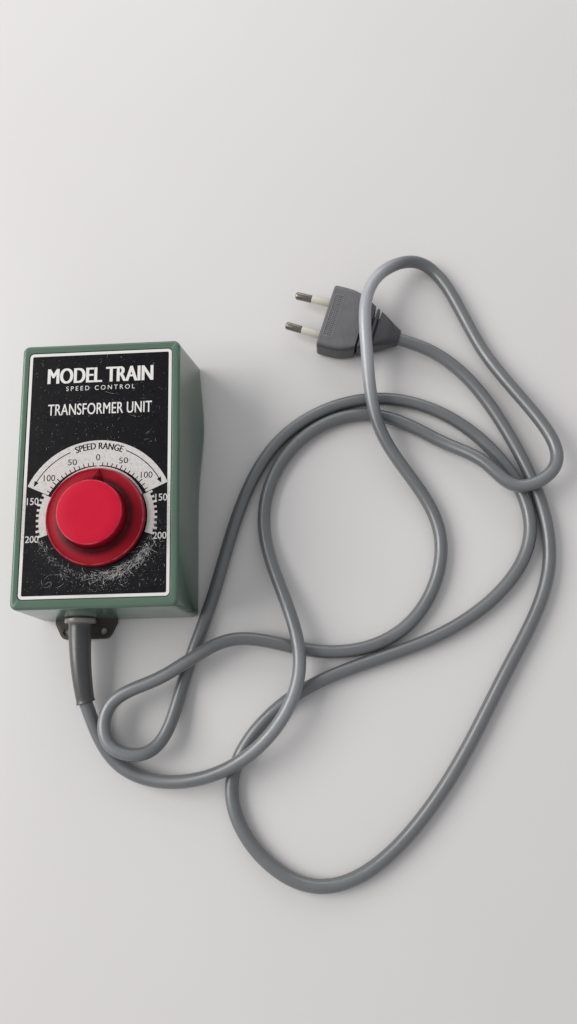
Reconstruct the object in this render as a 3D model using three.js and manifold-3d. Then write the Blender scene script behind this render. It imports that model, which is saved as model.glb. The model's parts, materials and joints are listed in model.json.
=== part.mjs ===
// Train set controller: a mains transformer in a moulded box, with a rotary speed knob on its front
// plate, a flex with a two-pin plug, and a two-way track output. Millimetres, +Z up.
// The origin is on the underside, at the middle of the front plate's length and width.
// +Y points to the sloping far wall, and the flex leaves through the near wall.
import * as THREE from "three";
import { mergeVertices } from "three/addons/utils/BufferGeometryUtils.js";
import Module from "manifold-3d";

const wasm = await Module();
wasm.setup();

// Box
const BOX_HEIGHT = 46;
const TOP_HALF_WIDTH = 37.25;
const BASE_HALF_WIDTH = 39.3;
const TOP_HALF_LENGTH = 62.1;
const NEAR_BASE_Y = -63.4;
const FAR_BASE_Y = 68.3;
const CORNER_RADIUS = 3.2;
const TOP_EDGE_RADIUS = 1.4;
const WALL = 2.3;
const TOP_WALL = 2.5;
const SWELL_OUT = 3.2;
const SWELL_Y = 33;
const SWELL_REACH = 24;
const GAP = 0.3;
const POST_X = 32;
const POST_Y = 55.5;
const POST_RADIUS = 3.8;
const PILOT_RADIUS = 1.5;
const PILOT_DEPTH = 13;

// Base plate and its lug
const PLATE_THICKNESS = 2.4;
const PLATE_INSET = 0.6;
const SHELL_BOTTOM = PLATE_THICKNESS + 0.2;
const LUG_X = -16.3;
const LUG_HOLES_X = -16.8;
const LUG_TIP_Y = -72.5;
const LUG_THICKNESS = 1.8;
const LUG_HOLE_SPACING = 18.4;
const LUG_HOLE_Y = -68.9;
const LUG_HOLE_RADIUS = 1.65;
const VENT_COUNT = 5;

// Front plate
const LABEL_HALF_WIDTH = 33.7;
const LABEL_NEAR_Y = -57.7;
const LABEL_FAR_Y = 58.1;
const LABEL_THICKNESS = 0.45;
const LABEL_CORNER = 2;
const LABEL_RECESS = 0.7;

// Knob, shaft and contacts
const KNOB_X = 0.3;
const KNOB_Y = -21.6;
const KNOB_AT_REST = -3 * (Math.PI / 180);
const KNOB_TRAVEL_DEGREES = 108;
const KNOB_HEIGHT = 11.5;
const GRIP_RADIUS = 14.55;
const SKIRT_RADIUS = 21.8;
const RIM_RADIUS = 22.5;
const SHAFT_RADIUS = 3.1;
const BUSH_RADIUS = 4.8;
const BUSH_BOTTOM = 35.6;
const BOARD_BOTTOM = 39.2;
const BOARD_THICKNESS = 1.7;
const BOARD_RADIUS = 23;
const TRACK_MEAN_RADIUS = 18.5;
const TRACK_HALF_ANGLE = 112 * (Math.PI / 180);
const ARM_BOTTOM = 33.2;
const ARM_THICKNESS = 1.1;
const ARM_HALF_WIDTH = 3.5;
const STOP_PIN_CIRCLE = 11;
const STOP_PIN_RADIUS = 1.4;

// Transformer
const CORE_Y = 28;
const CORE_WIDTH = 42;
const CORE_HEIGHT = 35;
const CORE_STACK = 24;
const CORE_BOTTOM = 3.3;
const LEG = 14;
const WINDOW_WIDTH = 7;
const YOKE = 7;
const BOBBIN_WALL = 0.8;

// Flex
const CORD_RADIUS = 3.15;
const CORD_REST_Z = 3.2;
const CORD_SIDES = 10;
const CORD_STEPS = 80;
const SLEEVE_X = -16.3;
const SLEEVE_Z = 11;
const SLEEVE_END_Y = -102.3;
const SLEEVE_BORE = 3.5;
const SLEEVE_BEND_FROM = -68;
const SLEEVE_SIDE_SWING = 2.8;
const SLEEVE_DROOP = 3.4;

// Plug
const PLUG_X = 106.2;
const PLUG_Y = 88.6;
const PLUG_AXIS_Z = 6.95;
const PLUG_TURN = 161.5 * (Math.PI / 180);
const PIN_SPACING = 18.6;
const PIN_LENGTH = 19;
const PIN_RADIUS = 2;
const PIN_TOE_IN = 1.6 * (Math.PI / 180);
const PIN_ROOT = 5;
const PIN_SLEEVE_LENGTH = 10;

// The flex's route, from the end of the sleeve to the plug's neck.
const CORD_ROUTE = [
  [-13.5, -102.6, 7.6],
  [1, -130, 4.4],
  [50, -135, 9.6],
  [88, -90, 11.6],
  [72, -17, 3.2],
  [91, 24.5, 3.2],
  [127, 36.8, 3.2],
  [166, 18.5, 4.6],
  [182, 7, 9.6],
  [196, -5, 10.6],
  [210, -1, 10.8],
  [188, 66, 3.6],
  [154, 119, 7],
  [131.5, 104, 16.8],
  [126, 68, 17.2],
  [132.5, 24, 8.6],
  [158, -24, 3.2],
  [140, -70, 3.2],
  [96, -81, 3.2],
  [56, -75, 8.2],
  [20, -93, 10.8],
  [-2, -106, 10.6],
  [-1, -121, 11.2],
  [15, -126, 10],
  [31, -98, 3.4],
  [46, -55, 3.2],
  [84, 28, 3.2],
  [130, 45.2, 3.2],
  [184, 19, 3.2],
  [202, -26, 3.2],
  [160, -72.5, 3.2],
  [78, -106.5, 3.2],
  [55, -145, 3.2],
  [89, -184.5, 3.2],
  [147, -151, 3.2],
  [186, -91, 3.2],
  [209, -45, 3.2],
  [196, 23, 3.2],
  [157, 70.5, 5.6],
  [143.9, 75.5, 6.95],
];

const finish = (color, roughness, metalness = 0) =>
  new THREE.MeshStandardMaterial({ color, roughness, metalness });
const greenPlastic = finish(0x587a68, 0.4);
const blackPrint = finish(0x202024, 0.45);
const redPlastic = finish(0xd0233a, 0.45);
const greyFlex = finish(0x6e7070, 0.5);
const greyPlug = finish(0x5a5a58, 0.6);
const brownPlastic = finish(0x6b645c, 0.6);
const nickel = finish(0x8a857c, 0.3, 1);
const pinPlastic = finish(0xcdc8b4, 0.5);
const brass = finish(0xb89a52, 0.35, 1);
const steel = finish(0x9a9c9e, 0.4, 1);
const lamination = finish(0x4a4a4e, 0.6, 0.6);
const enamelWire = finish(0xa8552a, 0.4, 0.4);
const naturalPlastic = finish(0xd8d2c0, 0.6);
const brownBoard = finish(0x7a5230, 0.7);
const carbon = finish(0x2a2a2c, 0.8);
const blackPlastic = finish(0x252527, 0.6);

const group = new THREE.Group();
const lerp = THREE.MathUtils.lerp;

// Helpers

// Turns the faces round when they point inwards.
function outward(geometry) {
  const flat = geometry.index ? geometry.toNonIndexed() : geometry;
  const p = flat.attributes.position.array;
  let volume = 0;
  for (let i = 0; i < p.length; i += 9) {
    const a = new THREE.Vector3().fromArray(p, i);
    const b = new THREE.Vector3().fromArray(p, i + 3);
    const c = new THREE.Vector3().fromArray(p, i + 6);
    volume += a.dot(b.cross(c));
  }
  if (volume < 0)
    for (let i = 0; i < p.length; i += 9)
      for (let k = 0; k < 3; k++)
        [p[i + 3 + k], p[i + 6 + k]] = [p[i + 6 + k], p[i + 3 + k]];
  return flat;
}

function solid(geometry) {
  const bare = outward(geometry.clone());
  bare.deleteAttribute("normal");
  bare.deleteAttribute("uv");
  const merged = mergeVertices(bare, 1e-4);
  return new wasm.Manifold(
    new wasm.Mesh({
      numProp: 3,
      vertProperties: merged.attributes.position.array,
      triVerts: new Uint32Array(merged.index.array),
    }),
  );
}

function geometryOf(body) {
  const mesh = body.getMesh();
  const geometry = new THREE.BufferGeometry();
  geometry.setAttribute("position", new THREE.BufferAttribute(mesh.vertProperties, 3));
  geometry.setIndex(new THREE.BufferAttribute(mesh.triVerts, 1));
  geometry.computeVertexNormals();
  return geometry;
}

const join = (first, ...rest) => rest.reduce((body, g) => body.add(solid(g)), solid(first));
const cut = (body, ...tools) => tools.reduce((left, g) => left.subtract(solid(g)), body);

function add(name, geometry, material, parent = group) {
  const mesh = new THREE.Mesh(outward(geometry), material);
  mesh.name = name;
  parent.add(mesh);
  return mesh;
}

// A box by its lowest and highest corners.
function box(low, high) {
  const size = high.map((v, i) => v - low[i]);
  const middle = high.map((v, i) => (v + low[i]) / 2);
  return new THREE.BoxGeometry(...size).translate(...middle);
}

function rod(radius, x, y, z0, z1, sides = 24) {
  const g = new THREE.CylinderGeometry(radius, radius, z1 - z0, sides).rotateX(Math.PI / 2);
  return g.translate(x, y, (z0 + z1) / 2);
}

// A turned shape about Z, from a closed profile of [radius, z] points.
function turned(profile, sides = 32) {
  const points = profile.map(([r, z]) => new THREE.Vector2(r, z));
  if (profile[0][0] > 0) points.push(points[0].clone());
  return new THREE.LatheGeometry(points, sides).rotateX(Math.PI / 2);
}

const tube = (inner, outer, z0, z1, sides = 32) =>
  turned([[inner, z0], [outer, z0], [outer, z1], [inner, z1]], sides);

function outlineShape(points) {
  return new THREE.Shape(points.map(([x, y]) => new THREE.Vector2(x, y)));
}

function prism(shape, z0, z1, curveSegments = 6) {
  const settings = { depth: z1 - z0, bevelEnabled: false, curveSegments };
  return new THREE.ExtrudeGeometry(shape, settings).translate(0, 0, z0);
}

function roundedRectangle(x0, x1, y0, y1, r) {
  const shape = new THREE.Shape();
  shape.moveTo(x0 + r, y0);
  shape.lineTo(x1 - r, y0);
  shape.absarc(x1 - r, y0 + r, r, -Math.PI / 2, 0);
  shape.lineTo(x1, y1 - r);
  shape.absarc(x1 - r, y1 - r, r, 0, Math.PI / 2);
  shape.lineTo(x0 + r, y1);
  shape.absarc(x0 + r, y1 - r, r, Math.PI / 2, Math.PI);
  shape.lineTo(x0, y0 + r);
  shape.absarc(x0 + r, y0 + r, r, Math.PI, 1.5 * Math.PI);
  return shape;
}

// Skins a row of rings that have the same number of points, and closes both ends.
function loft(rings) {
  const count = rings[0].length;
  const corners = rings.flat();
  const faces = [];
  for (let k = 0; k + 1 < rings.length; k++)
    for (let i = 0; i < count; i++) {
      const a = k * count + i;
      const b = k * count + ((i + 1) % count);
      faces.push(a, b, b + count, a, b + count, a + count);
    }
  for (const [start, flip] of [[0, true], [(rings.length - 1) * count, false]]) {
    const middle = new THREE.Vector3();
    for (let i = 0; i < count; i++) middle.addScaledVector(corners[start + i], 1 / count);
    corners.push(middle);
    const hub = corners.length - 1;
    for (let i = 0; i < count; i++) {
      const a = start + i;
      const b = start + ((i + 1) % count);
      faces.push(...(flip ? [hub, b, a] : [hub, a, b]));
    }
  }
  const geometry = new THREE.BufferGeometry().setFromPoints(corners);
  geometry.setIndex(faces);
  return geometry;
}

// A smooth curve through points, with no jump in its bending: a natural cubic spline in chord length.
class SmoothRoute extends THREE.Curve {
  constructor(points, lowest) {
    super();
    this.points = points.map((p) => new THREE.Vector3(...p));
    this.lowest = lowest;
    const p = this.points;
    const last = p.length - 1;
    this.span = p.slice(1).map((q, i) => q.distanceTo(p[i]));
    const pivot = new Array(last + 1).fill(0);
    const load = p.map(() => new THREE.Vector3());
    this.bend = p.map(() => new THREE.Vector3());
    for (let i = 1; i < last; i++) {
      const [h0, h1] = [this.span[i - 1], this.span[i]];
      const rise = p[i + 1].clone().sub(p[i]).multiplyScalar(3 / h1);
      rise.sub(p[i].clone().sub(p[i - 1]).multiplyScalar(3 / h0));
      const scale = 2 * (h0 + h1) - h0 * pivot[i - 1];
      pivot[i] = h1 / scale;
      load[i] = rise.addScaledVector(load[i - 1], -h0).divideScalar(scale);
    }
    for (let i = last - 1; i >= 0; i--)
      this.bend[i] = load[i].clone().addScaledVector(this.bend[i + 1], -pivot[i]);
  }
  getPoint(t, target = new THREE.Vector3()) {
    const place = t * this.span.length;
    const i = Math.min(Math.floor(place), this.span.length - 1);
    const [p, q, c, d] = [this.points[i], this.points[i + 1], this.bend[i], this.bend[i + 1]];
    const h = this.span[i];
    const u = (place - i) * h;
    const slope = q.clone().sub(p).divideScalar(h);
    slope.addScaledVector(d, -h / 3).addScaledVector(c, (-2 * h) / 3);
    target.copy(p).addScaledVector(slope, u).addScaledVector(c, u * u);
    target.addScaledVector(d.clone().sub(c), u ** 3 / (3 * h));
    target.z = Math.max(target.z, this.lowest);
    return target;
  }
}

function roundBar(route, radius, sides, steps) {
  const section = new THREE.Shape().absarc(0, 0, radius, 0, 2 * Math.PI);
  return new THREE.ExtrudeGeometry(section, { steps, extrudePath: route, curveSegments: sides });
}

function lead(name, points, material, steps = 8) {
  const route = new THREE.CatmullRomCurve3(points.map((p) => new THREE.Vector3(...p)));
  add(name, roundBar(route, 0.8, 8, steps), material);
}

// Outer shell


// The box's outline at height z, moved in by inset, with the low right-hand swelling.
function boxOutline(z, inset, swells = true) {
  const t = z / BOX_HEIGHT;
  const half = lerp(BASE_HALF_WIDTH, TOP_HALF_WIDTH, t) - inset;
  const near = lerp(NEAR_BASE_Y, -TOP_HALF_LENGTH, t) + inset;
  const far = lerp(FAR_BASE_Y, TOP_HALF_LENGTH, t) - inset;
  const radius = Math.max(CORNER_RADIUS - inset, 0.8);
  const arcSteps = 5;
  const sideSteps = 14;
  const points = [];
  const corner = (x, y, from) => {
    for (let k = 0; k <= arcSteps; k++) {
      const a = from + (k / arcSteps) * (Math.PI / 2);
      points.push([x + radius * Math.cos(a), y + radius * Math.sin(a)]);
    }
  };
  corner(half - radius, near + radius, -Math.PI / 2);
  for (let k = 1; k < sideSteps; k++) points.push([half, lerp(near + radius, far - radius, k / sideSteps)]);
  corner(half - radius, far - radius, 0);
  corner(radius - half, far - radius, Math.PI / 2);
  corner(radius - half, near + radius, Math.PI);
  const most = swells ? SWELL_OUT * (1 - t) ** 2 : 0;
  return points.map(([x, y]) => {
    const swell = x > 0 ? most * Math.exp(-(((y - SWELL_Y) / SWELL_REACH) ** 2)) : 0;
    return new THREE.Vector3(x + (swell * x) / half, y, z);
  });
}

function outerBody() {
  const levels = [SHELL_BOTTOM, 8, 16, 24, 34, BOX_HEIGHT - TOP_EDGE_RADIUS].map((z) => boxOutline(z, 0));
  const roundSteps = 3;
  for (let k = 1; k <= roundSteps; k++) {
    const a = (k / roundSteps) * (Math.PI / 2);
    const z = BOX_HEIGHT - TOP_EDGE_RADIUS * (1 - Math.sin(a));
    levels.push(boxOutline(z, TOP_EDGE_RADIUS * (1 - Math.cos(a))));
  }
  return loft(levels);
}

function housing() {
  const cavityLevels = [SHELL_BOTTOM - 1, 8, 16, 24, 34, BOX_HEIGHT - TOP_WALL];
  let body = solid(outerBody()).subtract(solid(loft(cavityLevels.map((z) => boxOutline(z, WALL)))));
  const ceiling = BOX_HEIGHT - TOP_WALL + 0.5;
  for (const x of [-POST_X, POST_X])
    for (const y of [-POST_Y, POST_Y]) {
      body = body.add(solid(rod(POST_RADIUS, x, y, SHELL_BOTTOM, ceiling)));
      body = body.subtract(solid(rod(PILOT_RADIUS, x, y, 0, SHELL_BOTTOM + PILOT_DEPTH)));
    }
  const recess = roundedRectangle(
    -LABEL_HALF_WIDTH - GAP,
    LABEL_HALF_WIDTH + GAP,
    LABEL_NEAR_Y - GAP,
    LABEL_FAR_Y + GAP,
    LABEL_CORNER + GAP,
  );
  body = cut(
    body,
    prism(recess, BOX_HEIGHT - LABEL_RECESS, BOX_HEIGHT + 5),
    rod(BUSH_RADIUS + GAP, KNOB_X, KNOB_Y, BOX_HEIGHT - 10, BOX_HEIGHT + 5),
    rod(5.8, 0, 0, 0, 10).rotateX(Math.PI / 2).translate(SLEEVE_X, NEAR_BASE_Y + 8, SLEEVE_Z),
    box([-14 - GAP, 56, 8 - GAP], [14 + GAP, 75, 20 + GAP]),
  );
  add("housing", geometryOf(body), greenPlastic);
}

function labelPlate() {
  const bottom = BOX_HEIGHT - LABEL_RECESS + 0.05;
  const [half, corner] = [LABEL_HALF_WIDTH, LABEL_CORNER];
  const sheet = roundedRectangle(-half, half, LABEL_NEAR_Y, LABEL_FAR_Y, corner);
  const body = cut(
    solid(prism(sheet, bottom, bottom + LABEL_THICKNESS)),
    rod(BUSH_RADIUS + GAP, KNOB_X, KNOB_Y, bottom - 1, BOX_HEIGHT + 1),
  );
  add("label_plate", geometryOf(body), blackPrint);
}

// Base plate, its lug and screws

function lugShape() {
  const [wallHalf, tipHalf, r] = [15.3, 11.6, 2.4];
  const shape = new THREE.Shape();
  shape.moveTo(LUG_X - wallHalf, NEAR_BASE_Y + 4);
  shape.lineTo(LUG_X - wallHalf, NEAR_BASE_Y - 1.5);
  shape.lineTo(LUG_X - tipHalf - r * 0.5, LUG_TIP_Y + r);
  shape.quadraticCurveTo(LUG_X - tipHalf, LUG_TIP_Y, LUG_X - tipHalf + r, LUG_TIP_Y);
  shape.lineTo(LUG_X + tipHalf - r, LUG_TIP_Y);
  shape.quadraticCurveTo(LUG_X + tipHalf, LUG_TIP_Y, LUG_X + tipHalf + r * 0.5, LUG_TIP_Y + r);
  shape.lineTo(LUG_X + wallHalf, NEAR_BASE_Y - 1.5);
  shape.lineTo(LUG_X + wallHalf, NEAR_BASE_Y + 4);
  return shape;
}

const CLAMP_Y = -51;
const CLAMP_SCREW_REACH = 8;
const CLAMP_POST_TOP = 14.3;

function basePlate() {
  const outline = boxOutline(0, PLATE_INSET, false).map((p) => [p.x, p.y]);
  let body = join(prism(outlineShape(outline), 0, PLATE_THICKNESS), prism(lugShape(), 0, LUG_THICKNESS));
  for (const side of [-1, 1]) {
    const x = LUG_HOLES_X + (side * LUG_HOLE_SPACING) / 2;
    body = cut(body, rod(LUG_HOLE_RADIUS, x, LUG_HOLE_Y, -1, 5));
    const postX = SLEEVE_X + side * CLAMP_SCREW_REACH;
    body = body.add(solid(rod(3, postX, CLAMP_Y, 1, CLAMP_POST_TOP)));
    body = cut(body, rod(1.4, postX, CLAMP_Y, 5, 20));
    for (const y of [-POST_Y, POST_Y])
      body = cut(body, rod(PILOT_RADIUS, side * POST_X, y, -1, 5), rod(3.1, side * POST_X, y, -1, 1.5));
    body = cut(body, rod(1.5, side * 27, CORE_Y, -1, 5));
  }
  for (let k = 0; k < VENT_COUNT; k++) {
    const x = (k - (VENT_COUNT - 1) / 2) * 9;
    body = cut(body, prism(roundedRectangle(x - 1.4, x + 1.4, 12, 44, 1.3), -1, 5));
  }
  add("base_plate", geometryOf(body), brownPlastic);
}

// A slotted cylinder-head screw along +Z, with its head's outer face at z = 0.
function screw(headRadius, headHeight, shankRadius, length) {
  const profile = [
    [0, 0],
    [headRadius, 0],
    [headRadius, headHeight],
    [shankRadius, headHeight],
    [shankRadius, length],
    [0, length + 0.8],
  ];
  const slot = box([-headRadius - 1, -0.35, -1], [headRadius + 1, 0.35, headHeight * 0.45]);
  return cut(solid(turned(profile, 20)), slot);
}

function baseScrews() {
  let number = 1;
  for (const y of [-POST_Y, POST_Y])
    for (const x of [-POST_X, POST_X]) {
      const mesh = add(`base_screw_${number}`, geometryOf(screw(2.7, 1, 1.2, 12)), steel);
      mesh.position.set(x, y, 0.3);
      number += 1;
    }
}

// Flex, sleeve and inner clamp

function bentSleeve(geometry) {
  const p = geometry.attributes.position;
  const reach = SLEEVE_END_Y - SLEEVE_BEND_FROM;
  for (let i = 0; i < p.count; i++) {
    const along = Math.max(0, (p.getY(i) - SLEEVE_BEND_FROM) / reach);
    p.setX(i, p.getX(i) + SLEEVE_SIDE_SWING * along ** 2);
    p.setZ(i, p.getZ(i) - SLEEVE_DROOP * along ** 2);
  }
  return geometry;
}

function cordSleeve() {
  const wall = -63.4;
  const taperFrom = wall - 2.5;
  const taper = 8;
  const outer = [];
  const bore = [];
  for (let k = 0; k <= taper; k++) {
    const y = lerp(taperFrom, SLEEVE_END_Y, k / taper);
    outer.push([lerp(5.45, 4.2, k / taper), y]);
    bore.unshift([SLEEVE_BORE, y]);
  }
  const profile = [
    [SLEEVE_BORE, wall + 4.7],
    [7, wall + 4.7],
    [7, wall + 3.1],
    [5.5, wall + 3.1],
    [5.5, wall],
    [7.35, wall],
    [7.35, taperFrom],
    ...outer,
    ...bore,
  ];
  const points = profile.map(([r, y]) => new THREE.Vector2(r, y));
  points.push(points[0].clone());
  const geometry = new THREE.LatheGeometry(points, 28).translate(SLEEVE_X, 0, SLEEVE_Z);
  add("cord_sleeve", bentSleeve(geometry), greyFlex);
}

function cord() {
  const route = new SmoothRoute(CORD_ROUTE, CORD_REST_Z);
  route.arcLengthDivisions = 2000;
  add("mains_cord", roundBar(route, CORD_RADIUS, CORD_SIDES, CORD_STEPS), greyFlex);
}

function cordTail() {
  const tail = rod(CORD_RADIUS, 0, 0, 0, 22).rotateX(-Math.PI / 2);
  add("cord_tail", tail.translate(SLEEVE_X, -67, SLEEVE_Z), greyFlex);
}

function cordClamp() {
  const bottom = CLAMP_POST_TOP + GAP;
  const bar = solid(box([SLEEVE_X - 11, CLAMP_Y - 3, bottom], [SLEEVE_X + 11, CLAMP_Y + 3, bottom + 3]));
  const tools = [-1, 1].map((side) => rod(1.5, SLEEVE_X + side * CLAMP_SCREW_REACH, CLAMP_Y, 0, 30));
  add("cord_clamp", geometryOf(cut(bar, ...tools)), naturalPlastic);
  [-1, 1].forEach((side, i) => {
    const mesh = add(`clamp_screw_${i + 1}`, geometryOf(screw(2.4, 1.6, 1.1, 10)), steel);
    mesh.rotation.x = Math.PI;
    mesh.position.set(SLEEVE_X + side * CLAMP_SCREW_REACH, CLAMP_Y, bottom + 3 + GAP + 1.6);
  });
}

// Plug

// A rounded rectangle across the plug's axis, half width by half thickness.
function plugSection(x, halfWidth, halfThickness, radius) {
  const points = [];
  const arcSteps = 4;
  for (let quarter = 0; quarter < 4; quarter++)
    for (let k = 0; k <= arcSteps; k++) {
      const a = (quarter + k / arcSteps) * (Math.PI / 2);
      const sy = quarter === 0 || quarter === 3 ? 1 : -1;
      const sz = quarter < 2 ? 1 : -1;
      const y = sy * (halfWidth - radius) + radius * Math.cos(a);
      const z = PLUG_AXIS_Z + sz * (halfThickness - radius) + radius * Math.sin(a);
      points.push(new THREE.Vector3(x, y, z));
    }
  return points;
}

function plug() {
  const frame = new THREE.Group();
  frame.position.set(PLUG_X, PLUG_Y, 0);
  frame.rotation.z = PLUG_TURN;
  group.add(frame);
  const stations = [
    [-39.5, 4.1, 4.1, 3.9],
    [-34, 6.4, 5.2, 3.6],
    [-29, 8.5, 6.0, 3.2],
    [-25, 9.2, 6.3, 3],
    [-22, 12.2, 6.6, 2.6],
    [-19, 14.3, 6.75, 2.4],
    [-15, 16.3, 6.8, 2.4],
    [-10, 17.4, 6.8, 2.4],
    [-0.9, 17.5, 6.8, 2.4],
    [0, 16.8, 6.2, 2],
  ];
  let body = solid(loft(stations.map((s) => plugSection(...s))));
  for (const side of [-1, 1]) {
    const root = rod(1.9, 0, 0, -PIN_ROOT - 1, 3, 16).rotateY(Math.PI / 2);
    body = cut(body, root.translate(0, (side * PIN_SPACING) / 2, PLUG_AXIS_Z));
  }
  add("plug_body", geometryOf(body), greyPlug, frame);
  [-1, 1].forEach((side, i) => {
    const pin = new THREE.Group();
    pin.position.set(0, (side * PIN_SPACING) / 2, PLUG_AXIS_Z);
    pin.rotation.z = -side * PIN_TOE_IN;
    frame.add(pin);
    const neck = PIN_SLEEVE_LENGTH + GAP;
    const profile = [
      [0, -PIN_ROOT],
      [1.3, -PIN_ROOT],
      [1.3, neck + GAP],
      [PIN_RADIUS, neck + GAP],
      [PIN_RADIUS, PIN_LENGTH - 0.9],
      [PIN_RADIUS - 0.9, PIN_LENGTH],
      [0, PIN_LENGTH],
    ];
    add(`plug_pin_${i + 1}`, turned(profile, 20).rotateY(Math.PI / 2), nickel, pin);
    const sleeve = tube(1.6, PIN_RADIUS, GAP, neck, 20).rotateY(Math.PI / 2);
    add(`plug_pin_sleeve_${i + 1}`, sleeve, pinPlastic, pin);
  });
}

// Knob, shaft and rotating contact, all turned with the shaft

function pointerRidge() {
  const [inner, tip, half, top, bottom] = [13.6, 21.8, 5, 11.3, 2];
  const corners = [
    [-half, inner, bottom],
    [half, inner, bottom],
    [0, tip, bottom],
    [0, inner, top],
    [0, tip, bottom + 1.2],
  ].map((p) => new THREE.Vector3(...p));
  const geometry = new THREE.BufferGeometry().setFromPoints(corners);
  geometry.setIndex([0, 2, 1, 0, 1, 3, 0, 3, 4, 0, 4, 2, 1, 2, 4, 1, 4, 3]);
  return geometry;
}

function controlKnob(parent) {
  const top = KNOB_HEIGHT;
  const profile = [
    [0, top],
    [GRIP_RADIUS - 0.7, top],
    [GRIP_RADIUS, top - 0.7],
    [GRIP_RADIUS + 0.5, 3.5],
    [SKIRT_RADIUS - 1, 2.5],
    [SKIRT_RADIUS, 2.9],
    [RIM_RADIUS, 1.4],
    [RIM_RADIUS, 0.8],
    [RIM_RADIUS - 1, 0.8],
    [RIM_RADIUS - 1.4, 1.6],
    [GRIP_RADIUS - 1.2, 2.2],
    [GRIP_RADIUS - 1.5, top - 2],
    [7.6, top - 2],
    [7.6, 3],
    [5.5, 3],
    [5.5, top - 1.8],
    [0, top - 1.8],
  ];
  const screwWay = rod(1.8, 0, 0, -30, -5).rotateY(Math.PI / 2).translate(0, 0, 6);
  const body = cut(solid(turned(profile, 48)).add(solid(pointerRidge())), screwWay);
  add("control_knob", geometryOf(body), redPlastic, parent);
  const hole = rod(1.8, 0, 0, -8, 0).rotateY(Math.PI / 2).translate(0, 0, 6);
  add("knob_insert", geometryOf(cut(solid(tube(3.4, 5.2, 3.2, 9.4, 28)), hole)), brass, parent);
  const set = rod(1.4, 0, 0, -7.3, -3.5, 14).rotateY(Math.PI / 2);
  add("knob_set_screw", set.translate(0, 0, 6), steel, parent);
}

function shaftAssembly() {
  const turning = new THREE.Group();
  turning.position.set(KNOB_X, KNOB_Y, 0);
  turning.rotation.z = KNOB_AT_REST;
  group.add(turning);
  const knobSeat = new THREE.Group();
  knobSeat.position.z = BOX_HEIGHT;
  turning.add(knobSeat);
  controlKnob(knobSeat);
  const clipBottom = ARM_BOTTOM + ARM_THICKNESS + GAP;
  const shaftProfile = [
    [0, 29],
    [SHAFT_RADIUS, 29],
    [SHAFT_RADIUS, clipBottom - 0.1],
    [2.4, clipBottom - 0.1],
    [2.4, clipBottom + 0.8],
    [SHAFT_RADIUS, clipBottom + 0.8],
    [SHAFT_RADIUS, 55],
    [0, 55],
  ];
  add("knob_shaft", turned(shaftProfile, 28), steel, turning);
  const clip = cut(
    solid(tube(2.65, 5, clipBottom, clipBottom + 0.7, 24)),
    box([-1.9, -6, clipBottom - 1], [1.9, 0, clipBottom + 2]),
  );
  add("shaft_clip", geometryOf(clip), steel, turning);
  add("wiper_hub", tube(SHAFT_RADIUS + GAP, 6.5, 29.8, ARM_BOTTOM - GAP, 28), naturalPlastic, turning);
  const reach = 21;
  const blade = outlineShape([
    [-ARM_HALF_WIDTH, 0],
    [ARM_HALF_WIDTH, 0],
    [2.6, reach],
    [-2.6, reach],
  ]);
  const armTop = ARM_BOTTOM + ARM_THICKNESS;
  const arm = cut(
    join(prism(blade, ARM_BOTTOM, armTop), rod(6, 0, 0, ARM_BOTTOM, armTop)),
    rod(SHAFT_RADIUS + GAP, 0, 0, 30, 40),
  );
  add("wiper_arm", geometryOf(arm), brass, turning);
  const brush = rod(2, 0, TRACK_MEAN_RADIUS, ARM_BOTTOM + ARM_THICKNESS + GAP, BOARD_BOTTOM - 1.6, 16);
  add("contact_brush", brush, carbon, turning);
}

// Fixed contact ring, its board, the bush and the nuts

function hexagonNut(acrossFlats, bore, z0, z1) {
  const hexagon = rod(acrossFlats / Math.sqrt(3), 0, 0, z0, z1, 6);
  return geometryOf(cut(solid(hexagon), rod(bore, 0, 0, z0 - 1, z1 + 1)));
}

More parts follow.
